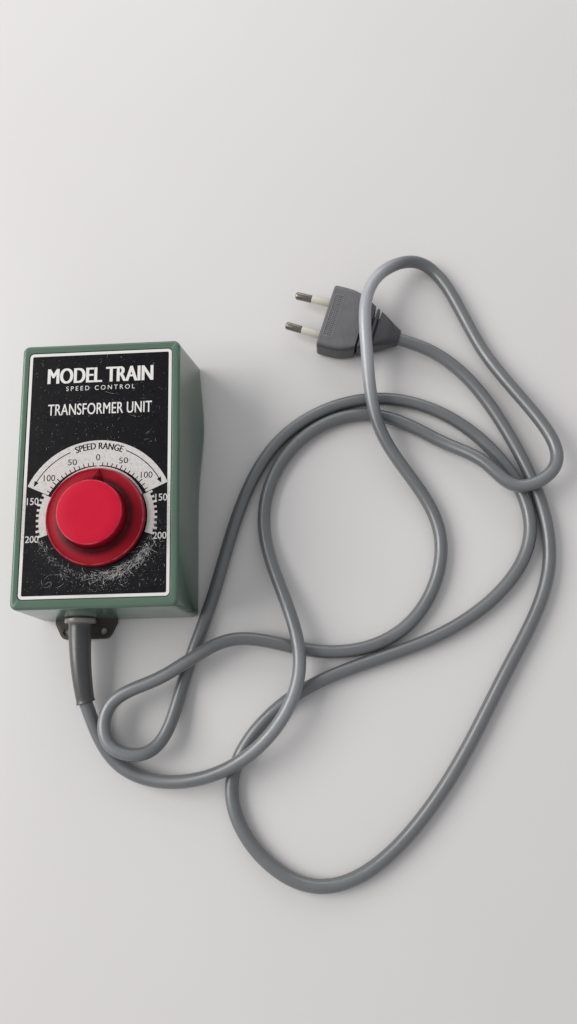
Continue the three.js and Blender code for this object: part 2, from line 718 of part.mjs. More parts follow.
function fixedContact() {
  const fixed = new THREE.Group();
  fixed.position.set(KNOB_X, KNOB_Y, 0);
  group.add(fixed);
  const nutTop = BOX_HEIGHT + 2.1;
  const ceiling = BOX_HEIGHT - TOP_WALL;
  const bush = [
    [SHAFT_RADIUS + 0.25, BUSH_BOTTOM],
    [BUSH_RADIUS, BUSH_BOTTOM],
    [BUSH_RADIUS, ceiling - GAP - 2],
    [8, ceiling - GAP - 2],
    [8, ceiling - GAP],
    [BUSH_RADIUS, ceiling - GAP],
    [BUSH_RADIUS, nutTop + 0.4],
    [SHAFT_RADIUS + 0.25, nutTop + 0.4],
  ];
  add("shaft_bush", turned(bush, 32), brass, fixed);
  add("bush_nut", hexagonNut(13, BUSH_RADIUS + GAP, BOX_HEIGHT - 0.1, nutTop), brass, fixed);
  add("board_nut", hexagonNut(13, BUSH_RADIUS + GAP, BOARD_BOTTOM - 2.6, BOARD_BOTTOM - GAP), brass, fixed);
  const boardTop = BOARD_BOTTOM + BOARD_THICKNESS;
  add("track_board", tube(BUSH_RADIUS + GAP, BOARD_RADIUS, BOARD_BOTTOM, boardTop, 48), brownBoard, fixed);
  const arc = new THREE.Shape();
  const [from, to] = [Math.PI / 2 - TRACK_HALF_ANGLE, Math.PI / 2 + TRACK_HALF_ANGLE];
  arc.absarc(0, 0, TRACK_MEAN_RADIUS + 2, from, to, false);
  arc.absarc(0, 0, TRACK_MEAN_RADIUS - 2, to, from, true);
  add("contact_track", prism(arc, BOARD_BOTTOM - 1.3, BOARD_BOTTOM - GAP, 32), brass, fixed);
  const armHalfAngle = Math.asin(ARM_HALF_WIDTH / STOP_PIN_CIRCLE);
  const pinHalfAngle = Math.asin(STOP_PIN_RADIUS / STOP_PIN_CIRCLE);
  const stopAngle = THREE.MathUtils.degToRad(KNOB_TRAVEL_DEGREES + 1) + armHalfAngle + pinHalfAngle;
  [-1, 1].forEach((side, i) => {
    const x = side * STOP_PIN_CIRCLE * Math.sin(stopAngle);
    const y = STOP_PIN_CIRCLE * Math.cos(stopAngle);
    add(`stop_pin_${i + 1}`, rod(STOP_PIN_RADIUS, x, y, 32.6, BOARD_BOTTOM - GAP, 16), steel, fixed);
  });
}

// Transformer

// A rectangular ring round the centre leg: inner and outer half sizes, rounded outside.
function legRing(innerX, innerY, outerX, outerY, corner, z0, z1) {
  const shape = roundedRectangle(-outerX, outerX, -outerY, outerY, corner);
  const hole = box([-innerX, -innerY, z0 - 1], [innerX, innerY, z1 + 1]);
  return cut(solid(prism(shape, z0, z1)), hole).translate([0, CORE_Y, 0]);
}

function transformer() {
  const half = CORE_WIDTH / 2;
  const [front, back] = [CORE_Y - CORE_STACK / 2, CORE_Y + CORE_STACK / 2];
  const [low, high] = [CORE_BOTTOM, CORE_BOTTOM + CORE_HEIGHT];
  const windows = [-1, 1].map((side) => {
    const [a, b] = [(side * LEG) / 2, side * (LEG / 2 + WINDOW_WIDTH)];
    return box([Math.min(a, b), front - 1, low + YOKE], [Math.max(a, b), back + 1, high - YOKE]);
  });
  const core = cut(solid(box([-half, front, low], [half, back, high])), ...windows);
  add("transformer_core", geometryOf(core), lamination);

  const tubeX = LEG / 2 + GAP;
  const tubeY = CORE_STACK / 2 + GAP;
  const flangeX = LEG / 2 + WINDOW_WIDTH - GAP;
  const flangeY = tubeY + BOBBIN_WALL + 6;
  const [floor, roof] = [low + YOKE + GAP, high - YOKE - GAP];
  const middle = (floor + roof) / 2;
  let bobbin = legRing(tubeX, tubeY, tubeX + BOBBIN_WALL, tubeY + BOBBIN_WALL, 0.6, floor, roof);
  for (const z of [floor, middle - BOBBIN_WALL / 2, roof - BOBBIN_WALL])
    bobbin = bobbin.add(legRing(tubeX, tubeY, flangeX, flangeY, 1, z, z + BOBBIN_WALL));
  add("coil_bobbin", geometryOf(bobbin), naturalPlastic);

  const innerX = tubeX + BOBBIN_WALL + GAP;
  const innerY = tubeY + BOBBIN_WALL + GAP;
  const winding = (z0, z1) =>
    geometryOf(legRing(innerX, innerY, flangeX - 0.4, flangeY - 0.6, 2.5, z0 + GAP, z1 - GAP));
  add("primary_winding", winding(floor + BOBBIN_WALL, middle - BOBBIN_WALL / 2), enamelWire);
  add("secondary_winding", winding(middle + BOBBIN_WALL / 2, roof - BOBBIN_WALL), enamelWire);

  const strapDepth = 8;
  const strap = (inset, x, z0, z1) =>
    box([-x, CORE_Y - strapDepth + inset, z0], [x, CORE_Y + strapDepth - inset, z1]);
  const foot = PLATE_THICKNESS + 0.2;
  const strapTop = high + GAP + 1.2;
  let clamp = join(strap(0, half + GAP + 1.2, foot, strapTop), strap(0, 31, foot, foot + 1.2));
  clamp = cut(clamp, strap(-1, half + GAP, 0, high + GAP));
  clamp = cut(clamp, rod(1.5, -27, CORE_Y, 0, 9), rod(1.5, 27, CORE_Y, 0, 9));
  add("core_clamp", geometryOf(clamp), steel);
  [-1, 1].forEach((side, i) => {
    const mesh = add(`core_screw_${i + 1}`, geometryOf(screw(2.6, 1.5, 1.1, 4.4)), steel);
    mesh.rotation.x = Math.PI;
    mesh.position.set(side * 27, CORE_Y, foot + 1.2 + GAP + 1.5);
  });
  const cutoutFront = CORE_Y - flangeY - 4.4;
  add("thermal_cutout", box([-7, cutoutFront, 17], [7, cutoutFront + 4, 25]), blackPlastic);
}

// Track output

function output() {
  const [front, back] = [58, 67.9];
  const holes = [-7, 7].map((x) => rod(2.7, x, 0, -90, -40).rotateX(Math.PI / 2).translate(0, 0, 14));
  const strip = cut(solid(box([-14, front, 8], [14, back, 20])), ...holes);
  add("socket_strip", geometryOf(strip), blackPlastic);
  [-7, 7].forEach((x, i) => {
    const socket = tube(1.35, 2.4, -68.1, -57, 20).rotateX(Math.PI / 2).translate(x, 0, 14);
    add(`output_socket_${i + 1}`, socket, brass);
  });
  add("rectifier", box([15.5, 44, 3], [27.5, 48.5, 15]), blackPlastic);
}

function innerLeads() {
  lead("mains_lead_1", [[-17.6, -44.4, 11.6], [-22, -32, 6], [-16, -8, 6], [-10, 8.4, 13]], brownPlastic, 10);
  lead("mains_lead_2", [[-15, -44.4, 11], [-16, -30, 5], [-10, -8, 5], [-4, 8.4, 13]], greyFlex, 10);
  lead("output_lead_1", [[19, 49.4, 11], [13, 51.5, 13], [7, 56.2, 14]], redPlastic);
  lead("output_lead_2", [[19, 49.4, 6], [10, 52, 6.5], [-4, 52.5, 9], [-7, 56.2, 14]], blackPlastic);
  lead("track_lead_1", [[-10, 8, 28], [-10, 5.4, 38], [-9, 2, 41.8], [-8, -4, 41.9]], redPlastic);
  lead("track_lead_2", [[10, 8, 28], [10, 5.4, 38], [9, 2, 41.8], [8, -4, 41.9]], blackPlastic);
}

housing();
labelPlate();
basePlate();
baseScrews();
cordSleeve();
cord();
cordTail();
cordClamp();
plug();
shaftAssembly();
fixedContact();
transformer();
output();
innerLeads();

export default group;
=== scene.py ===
"""Train set controller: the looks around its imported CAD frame.

The frame is in metres, +Z up. Sizes here are in millimetres and scaled by MM, unless a comment says so.
"""

import json
import math
import random

import bmesh
import bpy
from mathutils import Matrix, Vector

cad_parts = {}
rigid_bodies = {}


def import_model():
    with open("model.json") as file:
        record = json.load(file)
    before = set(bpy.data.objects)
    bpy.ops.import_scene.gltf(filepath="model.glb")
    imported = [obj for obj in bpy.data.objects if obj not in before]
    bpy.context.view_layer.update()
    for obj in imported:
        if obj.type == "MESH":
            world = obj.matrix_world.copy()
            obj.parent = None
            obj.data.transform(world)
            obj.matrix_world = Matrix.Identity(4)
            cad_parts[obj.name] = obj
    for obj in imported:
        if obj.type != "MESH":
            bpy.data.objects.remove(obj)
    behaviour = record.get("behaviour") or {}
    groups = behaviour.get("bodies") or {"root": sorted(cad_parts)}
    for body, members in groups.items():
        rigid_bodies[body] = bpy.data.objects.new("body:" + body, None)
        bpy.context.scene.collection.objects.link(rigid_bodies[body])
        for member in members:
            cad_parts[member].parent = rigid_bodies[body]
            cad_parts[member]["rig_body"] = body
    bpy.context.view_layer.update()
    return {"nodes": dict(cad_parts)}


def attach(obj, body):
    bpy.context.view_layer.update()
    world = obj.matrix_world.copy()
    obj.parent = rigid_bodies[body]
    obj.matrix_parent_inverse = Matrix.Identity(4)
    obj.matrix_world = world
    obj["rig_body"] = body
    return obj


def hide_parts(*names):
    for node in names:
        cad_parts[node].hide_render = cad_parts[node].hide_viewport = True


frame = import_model()
MM = 0.001
random.seed(7)

# Box and front plate, in millimetres, the same as the frame's
BOX_HEIGHT = 46
TOP_HALF_WIDTH = 37.25
BASE_HALF_WIDTH = 39.3
TOP_HALF_LENGTH = 62.1
NEAR_BASE_Y = -63.4
FAR_BASE_Y = 68.3
CORNER_RADIUS = 3.2
TOP_EDGE_RADIUS = 1.4
WALL = 2.3
TOP_WALL = 2.5
SWELL_OUT = 3.2
SWELL_Y = 33
SWELL_REACH = 24
SHELL_BOTTOM = 2.6
LABEL = (-33.7, 33.7, -57.7, 58.1)
LABEL_CORNER = 2
LABEL_TOP = 45.8
LABEL_THICKNESS = 0.45
LABEL_HOLE_RADIUS = 5.2
RECESS_FLOOR = 45.3
SHAFT_HOLE_RADIUS = 5.1
OUTER_LEVELS = (6, 10, 14, 18, 22, 26, 30, 34, 38, 41, 43.5, BOX_HEIGHT - TOP_EDGE_RADIUS)
INNER_LEVELS = (BOX_HEIGHT - TOP_WALL, 40, 34, 28, 22, 16, 10, SHELL_BOTTOM)
POST_X = 32
POST_Y = 55.5
POST_PROFILE = [(1.5, SHELL_BOTTOM), (3.8, SHELL_BOTTOM), (3.8, 43.5), (1.5, 43.5)]

# Dial and knob
DIAL_X = 0.3
DIAL_Y = -20.7
KNOB_X = 0.3
KNOB_Y = -21.6
KNOB_REST = -3
KNOB_TOP = 11.5
DIAL_STEP = 5.2
DIAL_FACE_ANGLE = 65.8
SIDE_ARC_ANGLE = 44.7
WHITE_LEVEL = LABEL_TOP + 0.03
BLACK_LEVEL = LABEL_TOP + 0.055
SCRATCH_LEVEL = LABEL_TOP + 0.07

# Closed (radius, height above the case) profile of the grip and its dished skirt
KNOB_PROFILE = [
    (0.02, KNOB_TOP), (9, KNOB_TOP), (13.7, KNOB_TOP), (14.1, KNOB_TOP - 0.08), (14.38, KNOB_TOP - 0.3),
    (14.5, KNOB_TOP - 0.65), (14.62, 8), (14.8, 4.9), (15.0, 4.0), (15.5, 3.45), (16.4, 3.1), (18.4, 2.62),
    (20.6, 2.4), (21.2, 2.48), (21.55, 2.72), (21.8, 2.78), (22.05, 2.6), (22.42, 1.6), (22.5, 1.3),
    (22.5, 0.95), (22.35, 0.8), (21.5, 0.8), (21.1, 1.6), (15, 2.0), (13.2, 2.3), (13, KNOB_TOP - 2),
    (7.6, KNOB_TOP - 2), (7.6, 3), (5.5, 3), (5.5, KNOB_TOP - 1.8), (0.02, KNOB_TOP - 1.8),
]
POINTER = [(-4.7, 13.9, 2.1), (4.7, 13.9, 2.1), (0, 21.75, 2.1), (0, 13.9, 11.25), (0, 21.75, 3.0)]
POINTER_FACES = [(0, 2, 1), (0, 1, 3), (0, 3, 4), (0, 4, 2), (1, 2, 4), (1, 4, 3)]

# Single scratches on the front plate: x, y, heading in radians, length and bend
HAND_SCRATCHES = [
    (-12.6, -47.6, 2.9, 6.5, 0.35), (-18.6, -46.9, 3.3, 5.5, 1.5), (-23.2, -48.8, 4.5, 3.8, 1.6),
    (-22.6, -52.2, 6.0, 3.6, 1.2), (-19.4, -52.4, 0.9, 2.8, 1.8), (-18.6, -50.2, 3.0, 3.4, 1.4),
    (-17.0, -52.7, 0.15, 4.6, 0.9), (-21.6, 16.6, 1.5, 3.2, 0.2), (21.5, 16.4, 0.6, 5.0, 0.3),
    (9, 36.4, 3.0, 7.5, -0.35), (17.5, 25.0, 2.7, 3.0, 0.5), (-22.0, 26, 0.8, 6.0, 0.4),
]

# Flex, from the end of its sleeve to the plug's neck
CORD_RADIUS = 3.15
CORD_REST_Z = 3.2
ROUTE_STEPS = 24
INTO_SLEEVE = 7
INTO_PLUG = 3
CORD_ROUTE = [
    (-13.5, -102.6, 7.6), (1, -130, 4.4), (50, -135, 9.6), (88, -90, 11.6),
    (72, -17, 3.2), (91, 24.5, 3.2), (127, 36.8, 3.2), (166, 18.5, 4.6),
    (182, 7, 9.6), (196, -5, 10.6), (210, -1, 10.8), (188, 66, 3.6),
    (154, 119, 7), (131.5, 104, 16.8), (126, 68, 17.2), (132.5, 24, 8.6),
    (158, -24, 3.2), (140, -70, 3.2), (96, -81, 3.2), (56, -75, 8.2),
    (20, -93, 10.8), (-2, -106, 10.6), (-1, -121, 11.2), (15, -126, 10),
    (31, -98, 3.4), (46, -55, 3.2), (84, 28, 3.2), (130, 45.2, 3.2),
    (184, 19, 3.2), (202, -26, 3.2), (160, -72.5, 3.2), (78, -106.5, 3.2),
    (55, -145, 3.2), (89, -184.5, 3.2), (147, -151, 3.2), (186, -91, 3.2),
    (209, -45, 3.2), (196, 23, 3.2), (157, 70.5, 5.6), (143.9, 75.5, 6.95),
]

# Sleeve, as (radius, y) profiles along its bent line
SLEEVE_X = -16.3
SLEEVE_Z = 11
SLEEVE_END_Y = -102.3
SLEEVE_BEND_FROM = -68
SLEEVE_TAPER_Y = -66.6
SLEEVE_FLANGE = [
    (6.6, -63.2), (7.1, -63.3), (7.35, -63.6), (7.35, -65.2), (7.1, -65.55), (6.3, -65.65),
    (5.75, -65.9), (5.45, SLEEVE_TAPER_Y),
]
SLEEVE_LIP = [(4.3, -101.55), (4.46, -101.75), (4.5, -102.05), (4.36, -102.25), (3.9, SLEEVE_END_Y)]
SLEEVE_LIP_Y = -101.6
SLEEVE_BORE = [
    (3.45, -102.1), (3.42, -96), (3.42, -80), (3.42, -59),
    (6.6, -59.0), (6.9, -59.3), (6.9, -60.1), (6.6, -60.3), (5.5, -60.3), (5.5, -63.0),
]

# Plug: each station is (x, half width, half thickness, corner radius), from the pin face to the neck
PLUG_FRAME = Matrix.Translation((106.2, 88.6, 6.95)) @ Matrix.Rotation(math.radians(161.5), 4, "Z")
PIN_SPACING = 18.6
PIN_TOE_IN = math.radians(1.6)
PLUG_STATIONS = [
    (0, 16.3, 5.6, 1.6), (-0.25, 17.0, 6.3, 2.0), (-0.9, 17.5, 6.75, 2.4), (-6, 17.6, 6.8, 2.5),
    (-10, 17.5, 6.8, 2.5), (-12.5, 17.0, 6.8, 2.5), (-15.5, 16.0, 6.8, 2.5), (-19.2, 14.2, 6.75, 2.5),
    (-19.4, 14.0, 6.6, 2.4), (-19.45, 10.8, 3.8, 1.8), (-20.5, 10.5, 3.7, 1.8), (-20.55, 13.4, 6.5, 2.4),
    (-20.75, 13.4, 6.65, 2.5), (-23.6, 11.9, 6.5, 2.6), (-23.75, 11.6, 6.35, 2.5), (-23.8, 7.6, 3.6, 2.2),
    (-24.9, 7.4, 3.6, 2.2), (-24.95, 11.0, 6.3, 2.7), (-25.15, 11.1, 6.4, 2.8), (-26.0, 10.9, 6.35, 2.8),
    (-26.2, 10.7, 6.2, 2.7), (-26.25, 7.2, 3.6, 2.2), (-27.3, 7.0, 3.6, 2.2), (-27.35, 9.9, 6.1, 2.8),
    (-27.6, 10.0, 6.2, 2.9), (-32, 7.7, 5.7, 3.2), (-36, 5.5, 4.9, 3.6), (-38.9, 4.25, 4.2, 3.9),
    (-39.4, 4.0, 4.0, 3.8), (-39.5, 3.7, 3.7, 3.6), (-39.5, 3.3, 3.3, 3.25), (-37.5, 3.2, 3.2, 3.15),
]
GRIP_X = (-6.6, -2.0)
GRIP_Y = 11.75

# Closed (radius, distance from the pin face) profiles of a pin, its cover and its collar
PIN_PROFILE = [
    (0.02, -5), (1.3, -5), (1.3, 10.2), (1.9, 10.25), (2.0, 10.4), (2.0, 17.9), (1.85, 18.4),
    (1.4, 18.85), (0.9, 19), (0.02, 19),
]
COVER_PROFILE = [(1.35, 0.35), (1.9, 0.35), (1.98, 0.6), (1.98, 9.9), (1.9, 10.15), (1.35, 10.15)]
COLLAR_PROFILE = [(2.02, -4), (2.55, -4), (2.55, 0.25), (2.4, 0.45), (2.15, 0.45), (2.02, 0.3)]

# Camera, fitted to the photograph; its angles are in degrees
CAMERA_SENSOR = 36
CAMERA_LENS = 27.42
CAMERA_PLACE = (101.98, -97.60, 381.71)
CAMERA_ANGLES = (12.583, 2.958, -1.308)

# Heights and distances that the looks follow, in metres
WALL_SHADE = (0.044, 0.006)
WALL_FOOT = (0.012, 0.002)
SHADED_SIDE_X = (0.0374, 0.0388)
TOP_EDGE_SHADE = (0.0438, 0.0443, 0.0449, 0.0452)
RUBBED_LACQUER = (0.022, 0.042)
RUBBED_PRINT = (0.0345, 0.038)
DENSE_SCRATCHES = (0.008, 0.03)
GRIP_EDGE = (0.0143, 0.0147)
DISH_SHADE = (0.0145, 0.0149, 0.0166, 0.0187)
GRIP_CHAMFER = (0.05685, 0.05705, 0.05738, 0.05748)
SKIRT_RIM = (0.0214, 0.0217)
SKIRT_TOP = (0.0482, 0.0486)
FLEX_LOW_SHADE = (0.0025, 0.0058)
FLEX_HIGH_HIGHLIGHT = (0.0125, 0.019)
FLANGE_HIGHLIGHT_Y = (-0.0662, -0.0654)
PLUG_SIDE_SHADE = (0.0122, 0.0137)


# Materials


def linear(hexadecimal):
    parts = [int(hexadecimal[i : i + 2], 16) / 255 for i in (0, 2, 4)]
    return (*[p / 12.92 if p < 0.04045 else ((p + 0.055) / 1.055) ** 2.4 for p in parts], 1)


class Look:
    """One procedural material, built round its Principled shader."""

    def __init__(self, name):
        self.material = bpy.data.materials.new(name)
        self.material.use_nodes = True
        self.tree = self.material.node_tree
        self.shader = self.tree.nodes["Principled BSDF"]
        self.place = self.tree.nodes.new("ShaderNodeTexCoord").outputs["Object"]
        self.normal = None

    def put(self, socket, value):
        if isinstance(value, bpy.types.NodeSocket):
            self.tree.links.new(value, socket)
        else:
            socket.default_value = value

    def node(self, kind, inputs, **settings):
        node = self.tree.nodes.new(kind)
        for key, value in settings.items():
            setattr(node, key, value)
        for key, value in inputs.items():
            self.put(node.inputs[key], value)
        return node

    def stretched(self, scale, turn=0.0):
        """The place, scaled for each axis, for marks that run one way."""
        inputs = {"Vector": self.place, "Scale": scale, "Rotation": (0, 0, turn)}
        return self.node("ShaderNodeMapping", inputs).outputs[0]

    def noise(self, scale, detail=3.0, rough=0.55, place=None):
        inputs = {"Vector": place or self.place, "Scale": scale, "Detail": detail, "Roughness": rough}
        return self.node("ShaderNodeTexNoise", inputs).outputs["Fac"]

    def cells(self, scale):
        inputs = {"Vector": self.place, "Scale": scale}
        return self.node("ShaderNodeTexVoronoi", inputs).outputs["Distance"]

    def spread(self, value, low, high, to_low=0.0, to_high=1.0):
        inputs = {0: value, 1: low, 2: high, 3: to_low, 4: to_high}
        return self.node("ShaderNodeMapRange", inputs).outputs[0]

    def maths(self, operation, a, b):
        return self.node("ShaderNodeMath", {0: a, 1: b}, operation=operation).outputs[0]

    def blend(self, factor, a, b):
        inputs = {0: factor, 6: a, 7: b}
        return self.node("ShaderNodeMix", inputs, data_type="RGBA").outputs[2]

    def far_from(self, centre):
        """Distance from a point in millimetres."""
        inputs = {0: self.place, 1: tuple(c * MM for c in centre)}
        return self.node("ShaderNodeVectorMath", inputs, operation="DISTANCE").outputs["Value"]

    def from_axis(self, centre):
        """Distance from an upright axis through a point in millimetres."""
        inputs = {0: self.place, 1: (1, 1, 0)}
        flat = self.node("ShaderNodeVectorMath", inputs, operation="MULTIPLY").outputs[0]
        inputs = {0: flat, 1: (centre[0] * MM, centre[1] * MM, 0)}
        return self.node("ShaderNodeVectorMath", inputs, operation="DISTANCE").outputs["Value"]

    def along(self, axis):
        return self.node("ShaderNodeSeparateXYZ", {0: self.place}).outputs["XYZ".index(axis)]

    def height(self):
        return self.along("Z")

    def band(self, value, from_low, from_high, to_high, to_low):
        """1 between the middle two limits, falling to 0 at the outer two."""
        rising = self.spread(value, from_low, from_high)
        return self.maths("MULTIPLY", rising, self.spread(value, to_low, to_high))

    def raised(self, height, depth, strength=1.0):
        inputs = {"Height": height, "Distance": depth, "Strength": strength}
        if self.normal:
            inputs["Normal"] = self.normal
        self.normal = self.node("ShaderNodeBump", inputs).outputs[0]
        self.put(self.shader.inputs["Normal"], self.normal)

    def set(self, **values):
        names = {
            "colour": "Base Color",
            "roughness": "Roughness",
            "metal": "Metallic",
            "specular": "Specular IOR Level",
            "coat": "Coat Weight",
            "coat_roughness": "Coat Roughness",
        }
        for key, value in values.items():
            self.put(self.shader.inputs[names[key]], value)
        return self.material


def moulded(name, colour, dusty, roughness, grain=900):
    """Moulded plastic: faint mottling, fine texture, dust in patches and uneven gloss."""
    look = Look(name)
    base = linear(colour)
    deep = (*[c * 0.86 for c in base[:3]], 1)
    tone = look.blend(look.noise(70, 5), deep, base)
    dust = look.spread(look.noise(240, 6, 0.7), 0.56, 0.78, 0, 0.35)
    look.raised(look.noise(grain, 3), 0.02 * MM)
    look.raised(look.noise(30, 1), 0.12 * MM, 0.5)
    return look.set(
        colour=look.blend(dust, tone, linear(dusty)),
        roughness=look.spread(look.noise(140, 5, 0.65), 0.3, 0.75, roughness - 0.07, roughness + 0.12),
    )


def green_plastic():
    """The case: painted shade low down on the walls and on the swollen right side, darker towards the foot,
    scuffed, with worn edges and a painted shade band near the top edge.
    """
    look = Look("green_plastic")
    tone = look.blend(look.noise(45, 4), linear("526b5b"), linear("5d7566"))
    scuffs = look.spread(look.noise(1, 8, 0.75, look.stretched((900, 160, 300), 0.5)), 0.62, 0.74, 0, 0.16)
    edge = look.node("ShaderNodeNewGeometry", {}).outputs["Pointiness"]
    patches = look.spread(look.noise(160, 5), 0.42, 0.62, 0, 0.5)
    worn = look.maths("MULTIPLY", look.spread(edge, 0.52, 0.6), patches)
    # Painted shade, deeper down the walls.
    lower = look.spread(look.height(), *WALL_SHADE, 0, 0.4)
    # Darker towards the foot of the walls, in patches.
    foot = look.spread(look.height(), *WALL_FOOT, 0, 0.4)
    darkening = look.maths("MULTIPLY", foot, look.noise(110, 6, 0.7))
    tone = look.blend(lower, tone, linear("385043"))
    # Painted shade on the right wall.
    right_wall_shade = look.spread(look.along("X"), *SHADED_SIDE_X, 0, 0.5)
    tone = look.blend(right_wall_shade, tone, linear("2f4237"))
    colour = look.blend(scuffs, tone, linear("7d9385"))
    colour = look.blend(worn, colour, linear("93a898"))
    # Painted shade: a dark band round the walls near the top edge.
    edge_shade = look.band(look.height(), *TOP_EDGE_SHADE)
    uneven = look.spread(look.noise(90, 4), 0.3, 0.6, 0.35, 0.75)
    colour = look.blend(look.maths("MULTIPLY", edge_shade, uneven), colour, linear("24362c"))
    look.raised(look.noise(1600, 2), 0.002 * MM)
    look.raised(look.noise(16, 1), 0.06 * MM, 0.5)
    return look.set(
        colour=look.blend(darkening, colour, linear("3b4a42")),
        roughness=look.spread(look.noise(60, 4, 0.6), 0.3, 0.75, 0.14, 0.22),
    )


def label_lacquer():
    """The front plate's black ground, rubbed round the dial, with hair scratches and dust."""
    look = Look("label_lacquer")
    near_knob = look.far_from((DIAL_X + 4, DIAL_Y - 5, LABEL_TOP))
    rubbed = look.spread(near_knob, *RUBBED_LACQUER, 1, 0)
    haze = look.maths("MULTIPLY", rubbed, look.spread(look.noise(420, 7, 0.75), 0.45, 0.75, 0, 0.45))
    hair_a = look.spread(look.noise(1, 4, 0.6, look.stretched((2600, 170, 1), 0.7)), 0.66, 0.72, 0, 0.3)
    hair_b = look.spread(look.noise(1, 4, 0.6, look.stretched((190, 2400, 1), 0.35)), 0.67, 0.73, 0, 0.25)
    specks = look.spread(look.cells(620), 0.06, 0.12, 0.7, 0)
    thinned = look.maths("MULTIPLY", specks, look.spread(look.noise(90, 3), 0.44, 0.6))
    tone = look.blend(look.noise(240, 7, 0.7), linear("08080a"), linear("1a1a1d"))
    colour = look.blend(haze, tone, linear("38383c"))
    colour = look.blend(look.maths("ADD", hair_a, hair_b), colour, linear("4a4b50"))
    dusty = look.spread(look.cells(1500), 0.05, 0.14, 0.45, 0)
    colour = look.blend(dusty, colour, linear("77777a"))
    look.raised(look.noise(1400, 3), 0.004 * MM)
    look.set(specular=0.15)
    return look.set(
        colour=look.blend(thinned, colour, linear("a3a19e")),
        roughness=look.spread(look.noise(150, 6, 0.7), 0.3, 0.75, 0.26, 0.42),
    )


def white_print():
    look = Look("white_print")
    rubbed = look.spread(look.far_from((DIAL_X, DIAL_Y, LABEL_TOP)), *RUBBED_PRINT, 1, 0)
    specks = look.maths("MULTIPLY", rubbed, look.spread(look.noise(1300, 4, 0.8), 0.5, 0.72, 0, 0.75))
    tone = look.blend(look.noise(130, 5), linear("dcd9d6"), linear("ebe8e5"))
    tone = look.blend(look.maths("MULTIPLY", rubbed, 0.6), tone, linear("c6c2be"))
    return look.set(
        colour=look.blend(specks, tone, linear("86827e")),
        roughness=look.spread(look.noise(300), 0, 1, 0.4, 0.6),
    )


def black_print():
    look = Look("black_print")
    worn = look.spread(look.noise(1500, 5, 0.7), 0.6, 0.72, 0, 0.25)
    look.set(specular=0.15)
    return look.set(
        colour=look.blend(worn, linear("060607"), linear("5a5654")),
        roughness=look.spread(worn, 0, 1, 0.4, 0.6),
    )


def scratch_mark():
    look = Look("scratch_mark")
    densest = look.spread(look.far_from((16, -42, LABEL_TOP)), *DENSE_SCRATCHES, 0.25, 0.0)
    bright = look.maths("ADD", look.spread(look.noise(1100, 3, 0.7), 0.42, 0.68), densest)
    colour = look.blend(bright, linear("5a595c"), linear("ece9e6"))
    return look.set(colour=colour, roughness=look.spread(look.noise(900), 0, 1, 0.5, 0.7))


def red_plastic():
    """The skirt is darker than the grip, with a darker ring in its dish by the grip: painted shade. Both
    edges are pale: a painted highlight, partly wear.
    """
    look = Look("red_plastic")
    out = look.from_axis((KNOB_X, KNOB_Y))
    height = look.height()
    mottle = look.noise(120, 6, 0.6)
    grip = look.blend(mottle, linear("c40e30"), linear("d01538"))
    # Painted shade: the skirt's red is darker than the grip's.
    skirt = look.blend(mottle, linear("8e0c1c"), linear("a51024"))
    tone = look.blend(look.spread(out, *GRIP_EDGE), grip, skirt)
    # Painted shade: a dark ring in the dish round the foot of the grip.
    darkening = look.band(out, *DISH_SHADE)
    darkening = look.maths("MULTIPLY", darkening, look.spread(look.noise(300, 6, 0.7), 0.35, 0.7, 0.75, 1))
    tone = look.blend(darkening, tone, linear("30050b"))
    # Painted highlight, partly wear: pale lines on the grip's chamfer and the skirt's rim.
    chamfer = look.band(height, *GRIP_CHAMFER)
    rim = look.maths("MULTIPLY", look.spread(out, *SKIRT_RIM), look.spread(height, *SKIRT_TOP))
    edges = look.maths("ADD", chamfer, rim)
    worn = look.maths("MULTIPLY", edges, look.spread(look.noise(260, 5), 0.35, 0.65, 0.05, 0.4))
    tone = look.blend(worn, tone, linear("e0808c"))
    scuffs = look.spread(look.noise(1, 7, 0.75, look.stretched((700, 240, 500), 1.1)), 0.64, 0.74, 0, 0.25)
    look.raised(look.noise(1300, 3), 0.006 * MM)
    look.set(specular=0.16)
    return look.set(
        colour=look.blend(scuffs, tone, linear("cc3450")),
        roughness=look.spread(look.noise(160, 6, 0.7), 0.3, 0.75, 0.34, 0.5),
    )


def sheath(name, dark, light, roughness, flange=False):
    """Grey sheath with rubbed patches and dirt.

    The flex has painted shade on its low flanks by the table and a painted highlight where it rises high.
    The sleeve's flange face is paler, a painted highlight.
    """
    look = Look(name)
    tone = look.blend(look.noise(35, 4, 0.6), linear(dark), linear(light))
    if not flange:
        # Painted shade on the low flanks by the table.
        tone = look.blend(look.spread(look.height(), *FLEX_LOW_SHADE, 0.7, 0), tone, linear("2c2c2d"))
        # Painted highlight where the flex rises high.
        tone = look.blend(look.spread(look.height(), *FLEX_HIGH_HIGHLIGHT, 0, 0.85), tone, linear("aeb0b4"))
    dirt = look.spread(look.noise(190, 7, 0.7), 0.57, 0.76, 0, 0.5)
    rubbed = look.spread(look.noise(480, 5, 0.7), 0.62, 0.74, 0, 0.3)
    colour = look.blend(dirt, tone, linear("4b4b4a"))
    look.raised(look.noise(1100, 3), 0.012 * MM)
    look.raised(look.noise(110, 2), 0.05 * MM, 0.6)
    colour = look.blend(rubbed, colour, linear("8f9191"))
    if flange:
        # Painted highlight on the flange face.
        colour = look.blend(look.spread(look.along("Y"), *FLANGE_HIGHLIGHT_Y), colour, linear("8f897f"))
    look.set(specular=0.9, coat=0.4, coat_roughness=0.3)
    return look.set(
        colour=colour,
        roughness=look.spread(look.noise(120, 5), 0.3, 0.7, roughness - 0.08, roughness + 0.1),
    )


